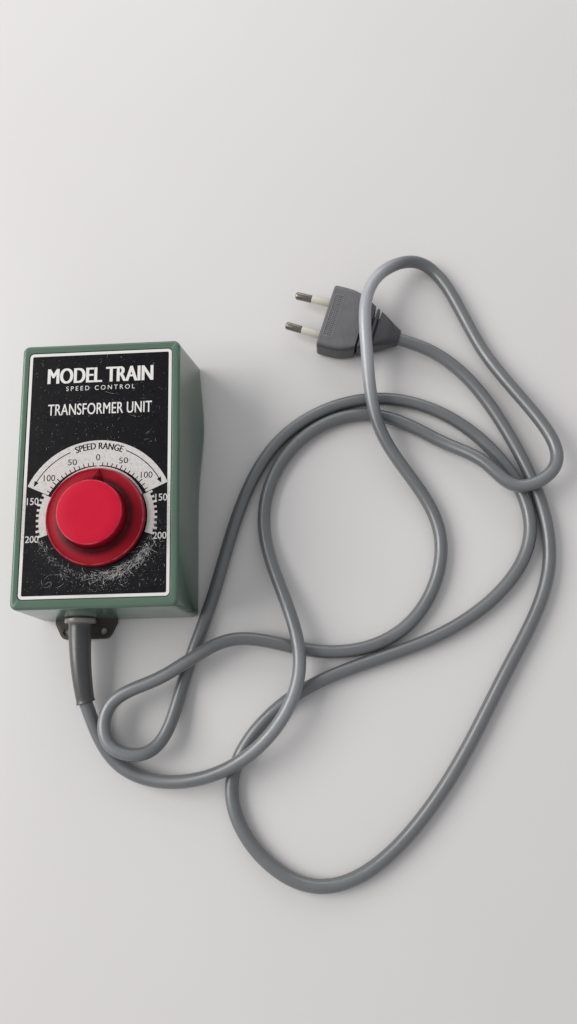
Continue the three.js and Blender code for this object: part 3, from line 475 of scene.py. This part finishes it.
def plug_vinyl():
    """Only the top face keeps the pale tone; the sides, edges and underside below it are darker, painted
    shade.
    """
    look = Look("plug_vinyl")
    tone = look.blend(look.noise(70, 6, 0.7), linear("58575a"), linear("7a797c"))
    # Painted shade on the sides, edges and underside below the top face.
    edge = look.spread(look.height(), *PLUG_SIDE_SHADE, 0.85, 0)
    tone = look.blend(edge, tone, linear("353536"))
    smear = look.spread(look.noise(1, 6, 0.7, look.stretched((300, 90, 300), 0.8)), 0.5, 0.75, 0, 0.45)
    look.raised(look.noise(1500, 3), 0.02 * MM)
    look.set(specular=0.6)
    return look.set(
        colour=look.blend(smear, tone, linear("4c4c4c")),
        roughness=look.spread(look.noise(160, 5), 0.3, 0.7, 0.3, 0.45),
    )


def metal(name, colour, tarnish, roughness):
    """Bare or plated metal with fine machining lines and tarnish in patches."""
    look = Look(name)
    machined = look.noise(1, 3, 0.6, look.stretched((60, 4000, 4000)))
    stain = look.spread(look.noise(420, 5, 0.65), 0.48, 0.72, 0, 0.7)
    look.raised(machined, 0.006 * MM)
    look.set(metal=1.0)
    return look.set(
        colour=look.blend(stain, linear(colour), linear(tarnish)),
        roughness=look.spread(look.noise(300, 4), 0.25, 0.75, roughness - 0.08, roughness + 0.15),
    )


def laminations():
    look = Look("laminations")
    sheets = look.node(
        "ShaderNodeTexWave",
        {"Vector": look.stretched((0, 1, 0)), "Scale": 320.0, "Distortion": 0.4, "Detail": 2.0},
        bands_direction="Y",
    ).outputs["Fac"]
    colour = look.blend(sheets, linear("2c2c30"), linear("606068"))
    rust = look.spread(look.noise(260, 6, 0.7), 0.6, 0.75, 0, 0.6)
    look.raised(sheets, 0.05 * MM)
    look.set(metal=0.7)
    return look.set(
        colour=look.blend(rust, colour, linear("6a4630")),
        roughness=look.spread(sheets, 0, 1, 0.45, 0.6),
    )


def enamelled_wire():
    look = Look("enamelled_wire")
    turns = look.node(
        "ShaderNodeTexWave",
        {"Vector": look.place, "Scale": 700.0, "Distortion": 0.8, "Detail": 1.0},
        bands_direction="Z",
    ).outputs["Fac"]
    colour = look.blend(turns, linear("6a2c12"), linear("c4703a"))
    look.raised(turns, 0.12 * MM)
    look.set(metal=0.6)
    return look.set(colour=colour, roughness=look.spread(look.noise(300), 0, 1, 0.3, 0.45))


GREEN = green_plastic()
LACQUER = label_lacquer()
WHITE = white_print()
BLACK = black_print()
SCRATCH = scratch_mark()
RED = red_plastic()
FLEX = sheath("grey_sheath", "5c5d5f", "717375", 0.36)
SLEEVE = sheath("grey_sleeve", "323232", "3f3f40", 0.38, flange=True)
PLUG = plug_vinyl()
# Paler than the plug body: a painted highlight on the grip's ribs.
PLUG_GRIP = moulded("plug_grip_vinyl", "8a898b", "aaa9aa", 0.36, 1500)
BROWN = moulded("brown_plastic", "453f36", "6a6152", 0.55)
PIN_PLASTIC = moulded("pin_plastic", "d8d4c4", "e8e4d8", 0.3)
NATURAL = moulded("natural_plastic", "cfc8b6", "e2ddd0", 0.5)
BLACK_PLASTIC = moulded("black_plastic", "1f1f21", "4a4a4c", 0.45)
RED_LEAD = moulded("red_lead", "9c1f24", "b54a4a", 0.45)
BROWN_LEAD = moulded("brown_lead", "6a4630", "866650", 0.45)
BOARD = moulded("laminate_board", "75502f", "9a7450", 0.55)
CARBON = moulded("pressed_carbon", "232325", "3a3a3c", 0.7)
NICKEL = metal("nickel_plate", "8f8a82", "5b5348", 0.32)
STEEL = metal("zinc_plate", "9c9da0", "77746c", 0.35)
BRASS = metal("turned_brass", "b08d45", "7c6232", 0.32)
LAMINATIONS = laminations()
WIRE = enamelled_wire()


# Mesh helpers; edges are left sharp where they turn by more than an angle in degrees
SHARP_FROM = 38
BEVEL_FROM = 28


def linked(name, data):
    piece = bpy.data.objects.new(name, data)
    bpy.context.scene.collection.objects.link(piece)
    return piece


def smoothed(mesh, angle=SHARP_FROM):
    mesh.shade_smooth()
    mesh.set_sharp_from_angle(angle=math.radians(angle))
    return mesh


def thing(name, points, faces, material, angle=SHARP_FROM):
    """A mesh object from points in millimetres, smooth except at its sharp edges."""
    mesh = bpy.data.meshes.new(name)
    mesh.from_pydata([Vector(p) * MM for p in points], [], faces)
    work = bmesh.new()
    work.from_mesh(mesh)
    bmesh.ops.recalc_face_normals(work, faces=work.faces)
    work.to_mesh(mesh)
    work.free()
    mesh.materials.append(material)
    return linked(name, smoothed(mesh, angle))


def baked(piece, angle=SHARP_FROM):
    """Applies the piece's modifiers."""
    ready = piece.evaluated_get(bpy.context.evaluated_depsgraph_get())
    mesh = bpy.data.meshes.new_from_object(ready)
    piece.modifiers.clear()
    piece.data = mesh
    smoothed(mesh, angle)
    return piece


def bevelled(piece, width, segments):
    """Rounds the edges that turn by more than BEVEL_FROM degrees."""
    bevel = piece.modifiers.new("bevel", "BEVEL")
    bevel.width = width * MM
    bevel.segments = segments
    bevel.limit_method = "ANGLE"
    bevel.angle_limit = math.radians(BEVEL_FROM)
    return baked(piece)


def joined(name, shells, material, angle=SHARP_FROM):
    """One object from several (points, faces) shells."""
    points, faces = [], []
    for shell_points, shell_faces in shells:
        start = len(points)
        points += shell_points
        faces += [tuple(i + start for i in face) for face in shell_faces]
    return thing(name, points, faces, material, angle)


def skin(rings, closed=False):
    """(points, faces) through rings of equal length, capped at both ends or closed on itself."""
    count = len(rings[0])
    points = [p for ring in rings for p in ring]
    faces = []
    spans = len(rings) if closed else len(rings) - 1
    for k in range(spans):
        a, b = k * count, ((k + 1) % len(rings)) * count
        faces += [(a + i, a + (i + 1) % count, b + (i + 1) % count, b + i) for i in range(count)]
    if not closed:
        faces += [tuple(range(count))[::-1], tuple(range(len(points) - count, len(points)))]
    return points, faces


def circle(radius, z, count, centre=(0, 0)):
    turn = [2 * math.pi * i / count for i in range(count)]
    return [(centre[0] + radius * math.cos(a), centre[1] + radius * math.sin(a), z) for a in turn]


def turned(profile, count=96, centre=(0, 0)):
    """(points, faces) of a closed profile of (radius, z) points turned about Z."""
    return skin([circle(r, z, count, centre) for r, z in profile], closed=True)


def plate(x0, x1, y0, y1, z0, z1):
    """(points, faces) of a plain block; only the plug's grip bevels its blocks."""
    lows = [(x0, y0, z0), (x1, y0, z0), (x1, y1, z0), (x0, y1, z0)]
    return skin([lows, [(x, y, z1) for x, y, _ in lows]])


def moved(shell, matrix):
    return [tuple(matrix @ Vector(p)) for p in shell[0]], shell[1]


def own(piece, node=None, body="case"):
    """Ties a piece to its body, and hides the CAD node that it stands for, if any."""
    if node:
        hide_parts(node)
    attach(piece, body)
    return piece


# Camera


def camera():
    data = bpy.data.cameras.new("camera")
    data.sensor_width = CAMERA_SENSOR
    data.lens = CAMERA_LENS
    data.clip_start = 0.01
    eye = linked("camera", data)
    eye.location = Vector(CAMERA_PLACE) * MM
    eye.rotation_euler = [math.radians(angle) for angle in CAMERA_ANGLES]
    bpy.context.scene.camera = eye


# Flex


def smooth_route(knots):
    """Points along the natural cubic spline through the knots, in chord length."""
    knots = [Vector(k) for k in knots]
    last = len(knots) - 1
    span = [(knots[i + 1] - knots[i]).length for i in range(last)]
    pivot = [0.0] * (last + 1)
    load = [Vector() for _ in knots]
    bend = [Vector() for _ in knots]
    for i in range(1, last):
        h0, h1 = span[i - 1], span[i]
        rise = 3 * ((knots[i + 1] - knots[i]) / h1 - (knots[i] - knots[i - 1]) / h0)
        scale = 2 * (h0 + h1) - h0 * pivot[i - 1]
        pivot[i] = h1 / scale
        load[i] = (rise - h0 * load[i - 1]) / scale
    for i in range(last - 1, -1, -1):
        bend[i] = load[i] - pivot[i] * bend[i + 1]
    points = []
    for i in range(last):
        h, p, c, d = span[i], knots[i], bend[i], bend[i + 1]
        slope = (knots[i + 1] - p) / h - h * (d + 2 * c) / 3
        for k in range(ROUTE_STEPS):
            u = h * k / ROUTE_STEPS
            point = p + slope * u + c * u * u + (d - c) * u**3 / (3 * h)
            point.z = max(point.z, CORD_REST_Z)
            points.append(point)
    return points + [knots[-1]]


def flex():
    """The flex as a round curve, carried straight on into the sleeve and the plug."""
    line = smooth_route(CORD_ROUTE)
    line.insert(0, line[0] + (line[0] - line[1]).normalized() * INTO_SLEEVE)
    line.append(line[-1] + (line[-1] - line[-2]).normalized() * INTO_PLUG)
    data = bpy.data.curves.new("mains_flex", "CURVE")
    data.dimensions = "3D"
    data.bevel_depth = CORD_RADIUS * MM
    data.bevel_resolution = 7
    data.use_fill_caps = True
    strand = data.splines.new("POLY")
    strand.points.add(len(line) - 1)
    for point, place in zip(strand.points, line):
        point.co = (*(place * MM), 1)
    data.materials.append(FLEX)
    piece = own(linked("mains_flex", data), "mains_cord")
    length = sum((b - a).length for a, b in zip(line, line[1:])) * MM
    return piece, length


def sleeve_line(y):
    """The middle of the sleeve, which bends sideways and down towards its end."""
    along = max(0.0, (y - SLEEVE_BEND_FROM) / (SLEEVE_END_Y - SLEEVE_BEND_FROM))
    return Vector((SLEEVE_X + 2.8 * along**2, y, SLEEVE_Z - 3.4 * along**2))


def sleeve():
    steps = 26
    taper = []
    for k in range(1, steps + 1):
        t = k / steps
        taper.append((5.42 - 1.2 * t**1.15, SLEEVE_TAPER_Y - 34.6 * t))
    count = 64
    rings = []
    for radius, y in SLEEVE_FLANGE + taper + SLEEVE_LIP + SLEEVE_BORE:
        ahead = (sleeve_line(y - 0.5) - sleeve_line(y + 0.5)).normalized()
        side = ahead.cross(Vector((0, 0, 1))).normalized()
        above = side.cross(ahead)
        middle = sleeve_line(y)
        torn_lip = SLEEVE_END_Y <= y < SLEEVE_LIP_Y and radius > 3.6
        ring = []
        for i in range(count):
            a = 2 * math.pi * i / count
            torn = 0.7 * max(0.0, math.cos(a - 0.3)) ** 3 if torn_lip else 0
            ring.append(middle + (side * math.cos(a) + above * math.sin(a)) * radius + ahead * torn)
        rings.append(ring)
    points, faces = skin(rings, closed=True)
    return own(thing("strain_relief", points, faces, SLEEVE), "cord_sleeve")


# Box


def rounded_outline(x0, x1, y0, y1, radius, z, swell=0.0):
    """A rounded rectangle with a fixed count of points, bowed out at its right-hand side."""
    arc, side = 9, 28
    points = []
    corners = [(x1 - radius, y0 + radius, -90), (x1 - radius, y1 - radius, 0)]
    corners += [(x0 + radius, y1 - radius, 90), (x0 + radius, y0 + radius, 180)]
    for k, (cx, cy, start) in enumerate(corners):
        for i in range(arc + 1):
            a = math.radians(start + 90 * i / arc)
            points.append((cx + radius * math.cos(a), cy + radius * math.sin(a)))
        nx, ny, after = corners[(k + 1) % 4]
        from_x, from_y = points[-1]
        b = math.radians(after)
        to_x, to_y = nx + radius * math.cos(b), ny + radius * math.sin(b)
        for i in range(1, side):
            t = i / side
            points.append((from_x + (to_x - from_x) * t, from_y + (to_y - from_y) * t))
    bowed = []
    for x, y in points:
        out = swell * math.exp(-(((y - SWELL_Y) / SWELL_REACH) ** 2)) * max(x, 0) / x1
        bowed.append((x + out, y, z))
    return bowed


def box_outline(z, inset=0.0):
    """The case's outline at a height; its walls lean in, and the right one swells towards its foot."""
    t = z / BOX_HEIGHT
    half = BASE_HALF_WIDTH + (TOP_HALF_WIDTH - BASE_HALF_WIDTH) * t - inset
    near = NEAR_BASE_Y + (-TOP_HALF_LENGTH - NEAR_BASE_Y) * t + inset
    far = FAR_BASE_Y + (TOP_HALF_LENGTH - FAR_BASE_Y) * t - inset
    radius = max(CORNER_RADIUS - inset, 0.8)
    return rounded_outline(-half, half, near, far, radius, z, SWELL_OUT * (1 - t) ** 2)


def label_outline(inset, radius, z):
    """The front plate's outline, drawn in by the inset."""
    x0, x1, y0, y1 = LABEL
    return rounded_outline(x0 + inset, x1 - inset, y0 + inset, y1 - inset, radius, z)


def hole_rings(outline, radius, levels):
    """Rings round the knob's shaft, each with one point for every point of the outline."""
    turns = [math.atan2(y - KNOB_Y, x - KNOB_X) for x, y, _ in outline]
    rings = []
    for z in levels:
        rings.append([(KNOB_X + radius * math.cos(a), KNOB_Y + radius * math.sin(a), z) for a in turns])
    return rings


def housing():
    foot = ((SHELL_BOTTOM, 0.35), (SHELL_BOTTOM + 0.1, 0.1), (SHELL_BOTTOM + 0.4, 0))
    rings = [box_outline(z, inset) for z, inset in foot]
    rings += [box_outline(z) for z in OUTER_LEVELS]
    for k in range(1, 9):
        a = math.pi / 2 * k / 8
        z = BOX_HEIGHT - TOP_EDGE_RADIUS * (1 - math.sin(a))
        rings.append(box_outline(z, TOP_EDGE_RADIUS * (1 - math.cos(a))))
    recess = ((0.55, BOX_HEIGHT), (0.35, BOX_HEIGHT - 0.06), (0.28, BOX_HEIGHT - 0.2), (0.28, RECESS_FLOOR))
    rings += [label_outline(-out, LABEL_CORNER + out, z) for out, z in recess]
    rings += hole_rings(rings[-1], SHAFT_HOLE_RADIUS, (RECESS_FLOOR, BOX_HEIGHT - TOP_WALL))
    rings += [box_outline(z, WALL) for z in INNER_LEVELS]
    shells = [skin(rings, closed=True)]
    for x in (-POST_X, POST_X):
        for y in (-POST_Y, POST_Y):
            shells.append(turned(POST_PROFILE, 32, (x, y)))
    own(joined("case_shell", shells, GREEN, 30), "housing")


def label():
    bottom, edge = LABEL_TOP - LABEL_THICKNESS, 0.08
    rings = [label_outline(0, LABEL_CORNER, bottom), label_outline(0, LABEL_CORNER, LABEL_TOP - edge)]
    rings.append(label_outline(edge, LABEL_CORNER - edge, LABEL_TOP))
    rings += hole_rings(rings[-1], LABEL_HOLE_RADIUS, (LABEL_TOP, bottom))
    own(thing("front_label", *skin(rings, closed=True), LACQUER, 30), "label_plate")


# Print on the label


def dial(radius, degrees):
    """A point on the dial, clockwise from its 0 mark."""
    a = math.radians(degrees)
    return DIAL_X + radius * math.sin(a), DIAL_Y + radius * math.cos(a)


def ribbon(left, right, z0, z1):
    """(points, faces) of a thin closed strip between two rows of points."""
    rings = []
    for (ax, ay), (bx, by) in zip(left, right):
        rings.append([(ax, ay, z0), (bx, by, z0), (bx, by, z1), (ax, ay, z1)])
    return skin(rings)


def dial_band(from_angle, to_angle, inner, outer, z0, z1, steps=60):
    """A band of the dial; inner and outer give the radius at an angle."""
    angles = [from_angle + (to_angle - from_angle) * k / steps for k in range(steps + 1)]
    return ribbon([dial(inner(a), a) for a in angles], [dial(outer(a), a) for a in angles], z0, z1)


def crescent(angle):
    """Outer radius of the black band that widens to both ends of the dial's face."""
    return 23.2 + 1.25 * (abs(angle) / DIAL_FACE_ANGLE) ** 1.6


def along_side_arc(angle):
    """0 at the end of a white side arc by the dial's face, 1 near its far end."""
    return (abs(angle) - DIAL_FACE_ANGLE) / SIDE_ARC_ANGLE


def tick(angle, inner, outer, width, z0, z1):
    half_in, half_out = (math.degrees(width / 2 / r) for r in (inner, outer))
    left = [dial(inner, angle - half_in), dial(outer, angle - half_out)]
    right = [dial(inner, angle + half_in), dial(outer, angle + half_out)]
    return ribbon(left, right, z0, z1)


def letters(text, width, height, bold=0.0, spacing=1.0):
    """(points, faces) of a line of plain capitals or figures, centred on x and standing on y = 0.

    Its height above the plate is left as 0 or 1.
    """
    data = bpy.data.curves.new("letters", "FONT")
    data.body = text
    data.offset = bold
    data.space_character = spacing
    data.resolution_u = 8
    data.extrude = 0.01
    piece = linked("letters", data)
    bpy.context.view_layer.update()
    solid = piece.evaluated_get(bpy.context.evaluated_depsgraph_get())
    mesh = bpy.data.meshes.new_from_object(solid)
    xs = [v.co.x for v in mesh.vertices]
    ys = [v.co.y for v in mesh.vertices]
    x_scale = width / (max(xs) - min(xs))
    y_scale = height / (max(ys) - min(ys))
    middle, foot = (max(xs) + min(xs)) / 2, min(ys)
    points = []
    for x, y, z in (v.co for v in mesh.vertices):
        points.append(((x - middle) * x_scale, (y - foot) * y_scale, 0.0 if z < 0 else 1.0))
    faces = [tuple(p.vertices) for p in mesh.polygons]
    bpy.data.objects.remove(piece)
    bpy.data.meshes.remove(mesh)
    return points, faces


def line_of_print(text, x, y, width, height, z0, z1, bold=0.0, spacing=1.0):
    """A line of print centred on (x, y)."""
    points, faces = letters(text, width, height, bold, spacing)
    return [(px + x, py + y - height / 2, z0 + (z1 - z0) * pz) for px, py, pz in points], faces


def print_round_dial(text, radius, from_angle, to_angle, height, z0, z1):
    """A line of print bent round the dial."""
    middle = (from_angle + to_angle) / 2
    mid_height = radius + height / 2
    points, faces = letters(text, math.radians(to_angle - from_angle) * mid_height, height)
    bent = []
    for px, py, pz in points:
        x, y = dial(radius + py, middle + math.degrees(px / mid_height))
        bent.append((x, y, z0 + (z1 - z0) * pz))
    return bent, faces


def white_print_shells():
    """Border, dial face, side arcs with their ticks, and lettering; copies side by side thicken a line."""
    z0, z1 = LABEL_TOP, WHITE_LEVEL
    border_out = [p[:2] for p in label_outline(0.12, 1.9, 0)]
    border_in = [p[:2] for p in label_outline(1.5, 0.7, 0)]
    shells = [ribbon(border_out + border_out[:1], border_in + border_in[:1], z0, z1)]
    shells.append(dial_band(-DIAL_FACE_ANGLE, DIAL_FACE_ANGLE, lambda a: 21.4, lambda a: 35.1, z0, z1, 120))
    for side in (-1, 1):
        inner = lambda a: 22.6 + 0.8 * along_side_arc(a)
        outer = lambda a: 25.7 + 1.0 * along_side_arc(a)
        shells.append(dial_band(side * 66.9, side * 110.5, inner, outer, z0, z1))
        for k in range(13, 22):
            end = 27.2 + 0.5 * (k - 13) / 8
            long_tick = 0.5 if k % 5 == 0 else 0
            shells.append(tick(side * k * DIAL_STEP, 25.3, end + long_tick, 1.05, z0, z1 + 0.01))
    for k in range(-3, 4):
        top = z1 + 0.002 * k
        shells.append(line_of_print("MODEL TRAIN", 0.1 + k * 0.11, 46.5, 49.2, 7.5, z0, top))
    shells.append(line_of_print("SPEED CONTROL", 0.3, 40.1, 32.2, 2.2, z0, z1, 0, 1.5))
    for k in (-1, 1):
        top = z1 + 0.002 * k
        shells.append(line_of_print("TRANSFORMER UNIT", 0.3 + k * 0.06, 29.9, 48.4, 5.5, z0, top, 0, 1.03))
    for side in (-1, 1):
        shells.append(line_of_print("150", 0.25 + side * 29.25, -13.35, 5.4, 3.3, z0, z1, 0.008))
        shells.append(line_of_print("200", 0.2 + side * 28.8, -30.75, 6.1, 3.1, z0, z1, 0.012))
    return shells


def black_print_shells():
    """Black bands, ticks, arrows and figures on the white face of the dial."""
    z0, z1 = WHITE_LEVEL, BLACK_LEVEL
    shells = []
    for side in (-1, 1):
        shells.append(dial_band(side * 1.6, side * DIAL_FACE_ANGLE, lambda a: 22.75, crescent, z0, z1))
        for k in range(1, 13):
            angle = side * k * DIAL_STEP
            foot = crescent(angle) - 0.2
            length = 2.1 if k % 5 == 0 else 1.7
            shells.append(tick(angle, foot, foot + length, 0.4, z0, z1 + 0.008))
        shells.append(dial_band(side * 23.3, side * 60.5, lambda a: 32.2, lambda a: 32.6, z0, z1))
        arrow = [dial(33.5, side * 59.6), dial(32.4, side * 64.2), dial(31.3, side * 59.6)]
        shells.append(skin([[(x, y, z0) for x, y in arrow], [(x, y, z1) for x, y in arrow]]))
        shells.append(line_of_print("50", 0.25 + side * 11.75, 4.4, 4.2, 2.75, z0, z1))
        shells.append(line_of_print("100", 0.45 + side * 22.25, -2.7, 5.3, 2.9, z0, z1))
    shells.append(line_of_print("0", 0.27, 6.33, 1.9, 3.0, z0, z1))
    for k in (-1, 1):
        shift, top = 0.2 * k, z1 + 0.002 * k
        shells.append(print_round_dial("SPEED RANGE", 30.9, shift - 19, shift + 20.5, 3.1, z0, top))
    return shells


def label_print():
    own(joined("label_print_white", white_print_shells(), WHITE, 30))
    own(joined("label_print_black", black_print_shells(), BLACK, 30))


def stroke(x, y, heading, length, width, bend):
    """(points, faces) of one flat, curved scratch that thins out at both ends."""
    left, right = [], []
    for k in range(5):
        t = k / 4
        half = width / 2 * (0.25 + 0.75 * math.sin(math.pi * t))
        side = (-math.sin(heading) * half, math.cos(heading) * half)
        left.append((x + side[0], y + side[1], SCRATCH_LEVEL))
        right.append((x - side[0], y - side[1], SCRATCH_LEVEL))
        x += math.cos(heading) * length / 4
        y += math.sin(heading) * length / 4
        heading += bend / 4
    return left + right, [(i, i + 1, i + 6, i + 5) for i in range(4)]


def scratches():
    """A dense band and long strokes below the knob, specks, faint marks above, then a few listed ones."""
    x0, x1, y0, y1 = LABEL
    marks = []

    def scratch(radius, angle, heading, length, width, bend):
        x, y = dial(radius, angle)
        inside = x0 + 2.4 < x < x1 - 2.4 and y0 + 2.4 < y < y1 - 2
        if inside and radius > 24.8:
            marks.append(stroke(x, y, math.radians(-angle) + heading, length, width, bend))

    for _ in range(270):
        angle = random.gauss(143, 21) if random.random() < 0.6 else random.uniform(112, 246)
        heading = random.gauss(0, 0.3) if random.random() < 0.45 else random.uniform(-1.5, 1.5)
        length = min(random.expovariate(0.6) + 0.4, 4.5)
        width = random.uniform(0.06, 0.14)
        scratch(random.gauss(27.5, 1.2), angle, heading, length, width, random.gauss(0, 0.6))
    for _ in range(60):
        heading = random.gauss(0, 0.25) if random.random() < 0.5 else random.gauss(1.1, 0.35)
        length, width = random.uniform(1.5, 5.2), random.uniform(0.12, 0.2)
        radius, angle = random.uniform(25.6, 29.5), random.gauss(142, 17)
        scratch(radius, angle, heading, length, width, random.gauss(-0.1, 0.3))
    for _ in range(1000):
        angle, radius = random.gauss(165, 42), 26 + random.expovariate(0.2)
        length = random.uniform(0.12, 0.4) if random.random() < 0.88 else random.uniform(0.6, 2)
        if 95 < angle < 262:
            scratch(radius, angle, random.uniform(0, math.pi), length, random.uniform(0.07, 0.15), 0)
    for _ in range(230):
        x, y = random.uniform(-31, 31), random.uniform(10, 55)
        length = random.expovariate(1.5) + 0.15
        heading, width = random.uniform(0, math.pi), random.uniform(0.03, 0.08)
        marks.append(stroke(x, y, heading, length, width, random.gauss(0, 0.8)))
    for x, y, heading, length, bend in HAND_SCRATCHES:
        marks.append(stroke(x, y, heading, length, 0.09, bend))
    own(joined("label_scratches", marks, SCRATCH))


# Knob


def knob():
    ridge = bevelled(thing("ridge", POINTER, POINTER_FACES, RED), 0.28, 3)
    ridge_points = [tuple(v.co / MM) for v in ridge.data.vertices]
    ridge_faces = [tuple(p.vertices) for p in ridge.data.polygons]
    bpy.data.objects.remove(ridge)
    rest = Matrix.Rotation(math.radians(KNOB_REST), 4, "Z")
    seat = Matrix.Translation((KNOB_X, KNOB_Y, BOX_HEIGHT)) @ rest
    shells = [moved(turned(KNOB_PROFILE, 144), seat), moved((ridge_points, ridge_faces), seat)]
    own(joined("speed_knob", shells, RED, 32), "control_knob", "knob")


# Plug


def plug_section(x, half_width, half_thickness, radius):
    points = []
    for k in range(4):
        for i in range(8):
            a = math.radians(90 * (k + i / 7))
            sign_y = 1 if k in (0, 3) else -1
            sign_z = 1 if k < 2 else -1
            y = sign_y * (half_width - radius) + radius * math.cos(a)
            z = sign_z * (half_thickness - radius) + radius * math.sin(a)
            points.append((x, y, z))
    return points


def plug_shell():
    """The plug's body with a slot for each grip and a bore for each pin."""
    points, faces = skin([plug_section(*station) for station in PLUG_STATIONS])
    body = thing("plug_shell", *moved((points, faces), PLUG_FRAME), PLUG, 28)
    tools = []
    for side in (-1, 1):
        tools.append(moved(plate(*GRIP_X, -11.6, 11.6, side * 6.35, side * 8), PLUG_FRAME))
        socket = skin([circle(2.3, -6.5, 32), circle(2.3, 3, 32)])
        across = Matrix.Translation((0, side * PIN_SPACING / 2, 0)) @ Matrix.Rotation(math.pi / 2, 4, "Y")
        tools.append(moved(socket, PLUG_FRAME @ across))
    cutter = joined("cutter", tools, PLUG)
    cut = body.modifiers.new("cut", "BOOLEAN")
    cut.operation = "DIFFERENCE"
    cut.object = cutter
    cut.solver = "EXACT"
    baked(body, 28)
    bpy.data.objects.remove(cutter)
    own(body, "plug_body")


def plug_grip():
    """Fine ribs both ways inside a raised frame, on both faces of the plug."""
    ribs = []
    for side in (-1, 1):
        for k in range(23):
            y = -11 + k
            ribs.append(plate(-6.3, -2.3, y - 0.22, y + 0.22, side * 6.2, side * 6.74))
        for k in range(4):
            x = -5.9 + k * 1.07
            ribs.append(plate(x - 0.16, x + 0.16, -11.2, 11.2, side * 6.2, side * 6.72))
        for x in GRIP_X:
            ribs.append(plate(x - 0.24, x + 0.24, -11.9, 11.9, side * 6.3, side * 6.93))
        for y in (-GRIP_Y, GRIP_Y):
            ribs.append(plate(*GRIP_X, y - 0.24, y + 0.24, side * 6.3, side * 6.93))
    grip = joined("plug_grip", [moved(rib, PLUG_FRAME) for rib in ribs], PLUG_GRIP)
    own(bevelled(grip, 0.1, 1))


def plug_pins():
    collars = []
    for number, side in ((1, -1), (2, 1)):
        place = Matrix.Translation((0, side * PIN_SPACING / 2, 0))
        across = place @ Matrix.Rotation(-side * PIN_TOE_IN, 4, "Z")
        across = PLUG_FRAME @ across @ Matrix.Rotation(math.pi / 2, 4, "Y")
        pin = moved(turned(PIN_PROFILE, 48), across)
        own(thing(f"pin_{number}", *pin, NICKEL), f"plug_pin_{number}")
        cover = moved(turned(COVER_PROFILE, 48), across)
        own(thing(f"pin_cover_{number}", *cover, PIN_PLASTIC), f"plug_pin_sleeve_{number}")
        collars.append(moved(turned(COLLAR_PROFILE, 40), across))
    own(joined("plug_collars", collars, PLUG))


# Base plate, output strip and the parts inside


def softened(node, name, material, width):
    """A bevelled copy of a CAD node that stands for it."""
    source = frame["nodes"][node]
    work = bmesh.new()
    work.from_mesh(source.data)
    bmesh.ops.remove_doubles(work, verts=work.verts, dist=1e-7)
    nearly_flat = math.radians(1)
    bmesh.ops.dissolve_limit(work, angle_limit=nearly_flat, verts=work.verts, edges=work.edges)
    mesh = bpy.data.meshes.new(name)
    work.to_mesh(mesh)
    work.free()
    mesh.materials.clear()
    mesh.materials.append(material)
    piece = linked(name, smoothed(mesh))
    own(bevelled(piece, width, 2), node, source["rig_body"])


def hidden_parts():
    """Materials for the nodes that are shown as the frame gives them."""
    looks = {
        STEEL: "base_screw_1 base_screw_2 base_screw_3 base_screw_4 clamp_screw_1 clamp_screw_2"
        " knob_set_screw knob_shaft shaft_clip stop_pin_1 stop_pin_2 core_clamp core_screw_1 core_screw_2",
        BRASS: "knob_insert wiper_arm shaft_bush bush_nut board_nut contact_track"
        " output_socket_1 output_socket_2",
        NATURAL: "cord_clamp wiper_hub coil_bobbin",
        SLEEVE: "cord_tail mains_lead_2",
        CARBON: "contact_brush",
        BOARD: "track_board",
        LAMINATIONS: "transformer_core",
        WIRE: "primary_winding secondary_winding",
        BLACK_PLASTIC: "thermal_cutout rectifier output_lead_2 track_lead_2",
        BROWN_LEAD: "mains_lead_1",
        RED_LEAD: "output_lead_1 track_lead_1",
    }
    for material, names in looks.items():
        for name in names.split():
            mesh = frame["nodes"][name].data
            mesh.materials.clear()
            mesh.materials.append(material)
            smoothed(mesh, 32)


# Floor and light


def floor():
    """The table top, just under the flex."""
    look = Look("table_top")
    tone = look.blend(look.noise(5, 3), linear("dcd9d7"), linear("e2e0de"))
    look.set(colour=tone, roughness=look.spread(look.noise(9, 4), 0.3, 0.7, 0.38, 0.48))
    piece = thing("table_top", *plate(-4000, 4000, -4000, 4000, -12, -0.02), look.material)


def soft_light(name, place, aim, size, power, colour=(1, 1, 1)):
    """A rectangular lamp; place, aim and size are in metres, power in watts."""
    data = bpy.data.lights.new(name, "AREA")
    data.shape = "RECTANGLE"
    data.size, data.size_y = size
    data.energy = power
    data.color = colour
    lamp = linked(name, data)
    lamp.location = place
    lamp.rotation_euler = (Vector(aim) - Vector(place)).to_track_quat("-Z", "Y").to_euler()


def lights():
    warm = (1, 0.99, 0.97)
    soft_light("window", place=(-1.3, 0.27, 1.05), aim=(0.05, 0, 0), size=(1.5, 1.1), power=27, colour=warm)
    soft_light("far_window", place=(0.1, 1.5, 0.75), aim=(0.08, 0, 0), size=(1.6, 0.8), power=6)
    bpy.context.scene.view_settings.view_transform = "Standard"
    world = bpy.data.worlds.new("room")
    world.use_nodes = True
    background = world.node_tree.nodes["Background"]
    background.inputs["Color"].default_value = (0.95, 0.96, 1, 1)
    background.inputs["Strength"].default_value = 0.42
    bpy.context.scene.world = world


camera()
lights()
floor()
strand, strand_length = flex()
strain_relief = sleeve()
housing()
label()
label_print()
scratches()
knob()
plug_shell()
plug_grip()
plug_pins()
softened("base_plate", "base_cover", BROWN, 0.25)
softened("socket_strip", "output_strip", BLACK_PLASTIC, 0.35)
hidden_parts()
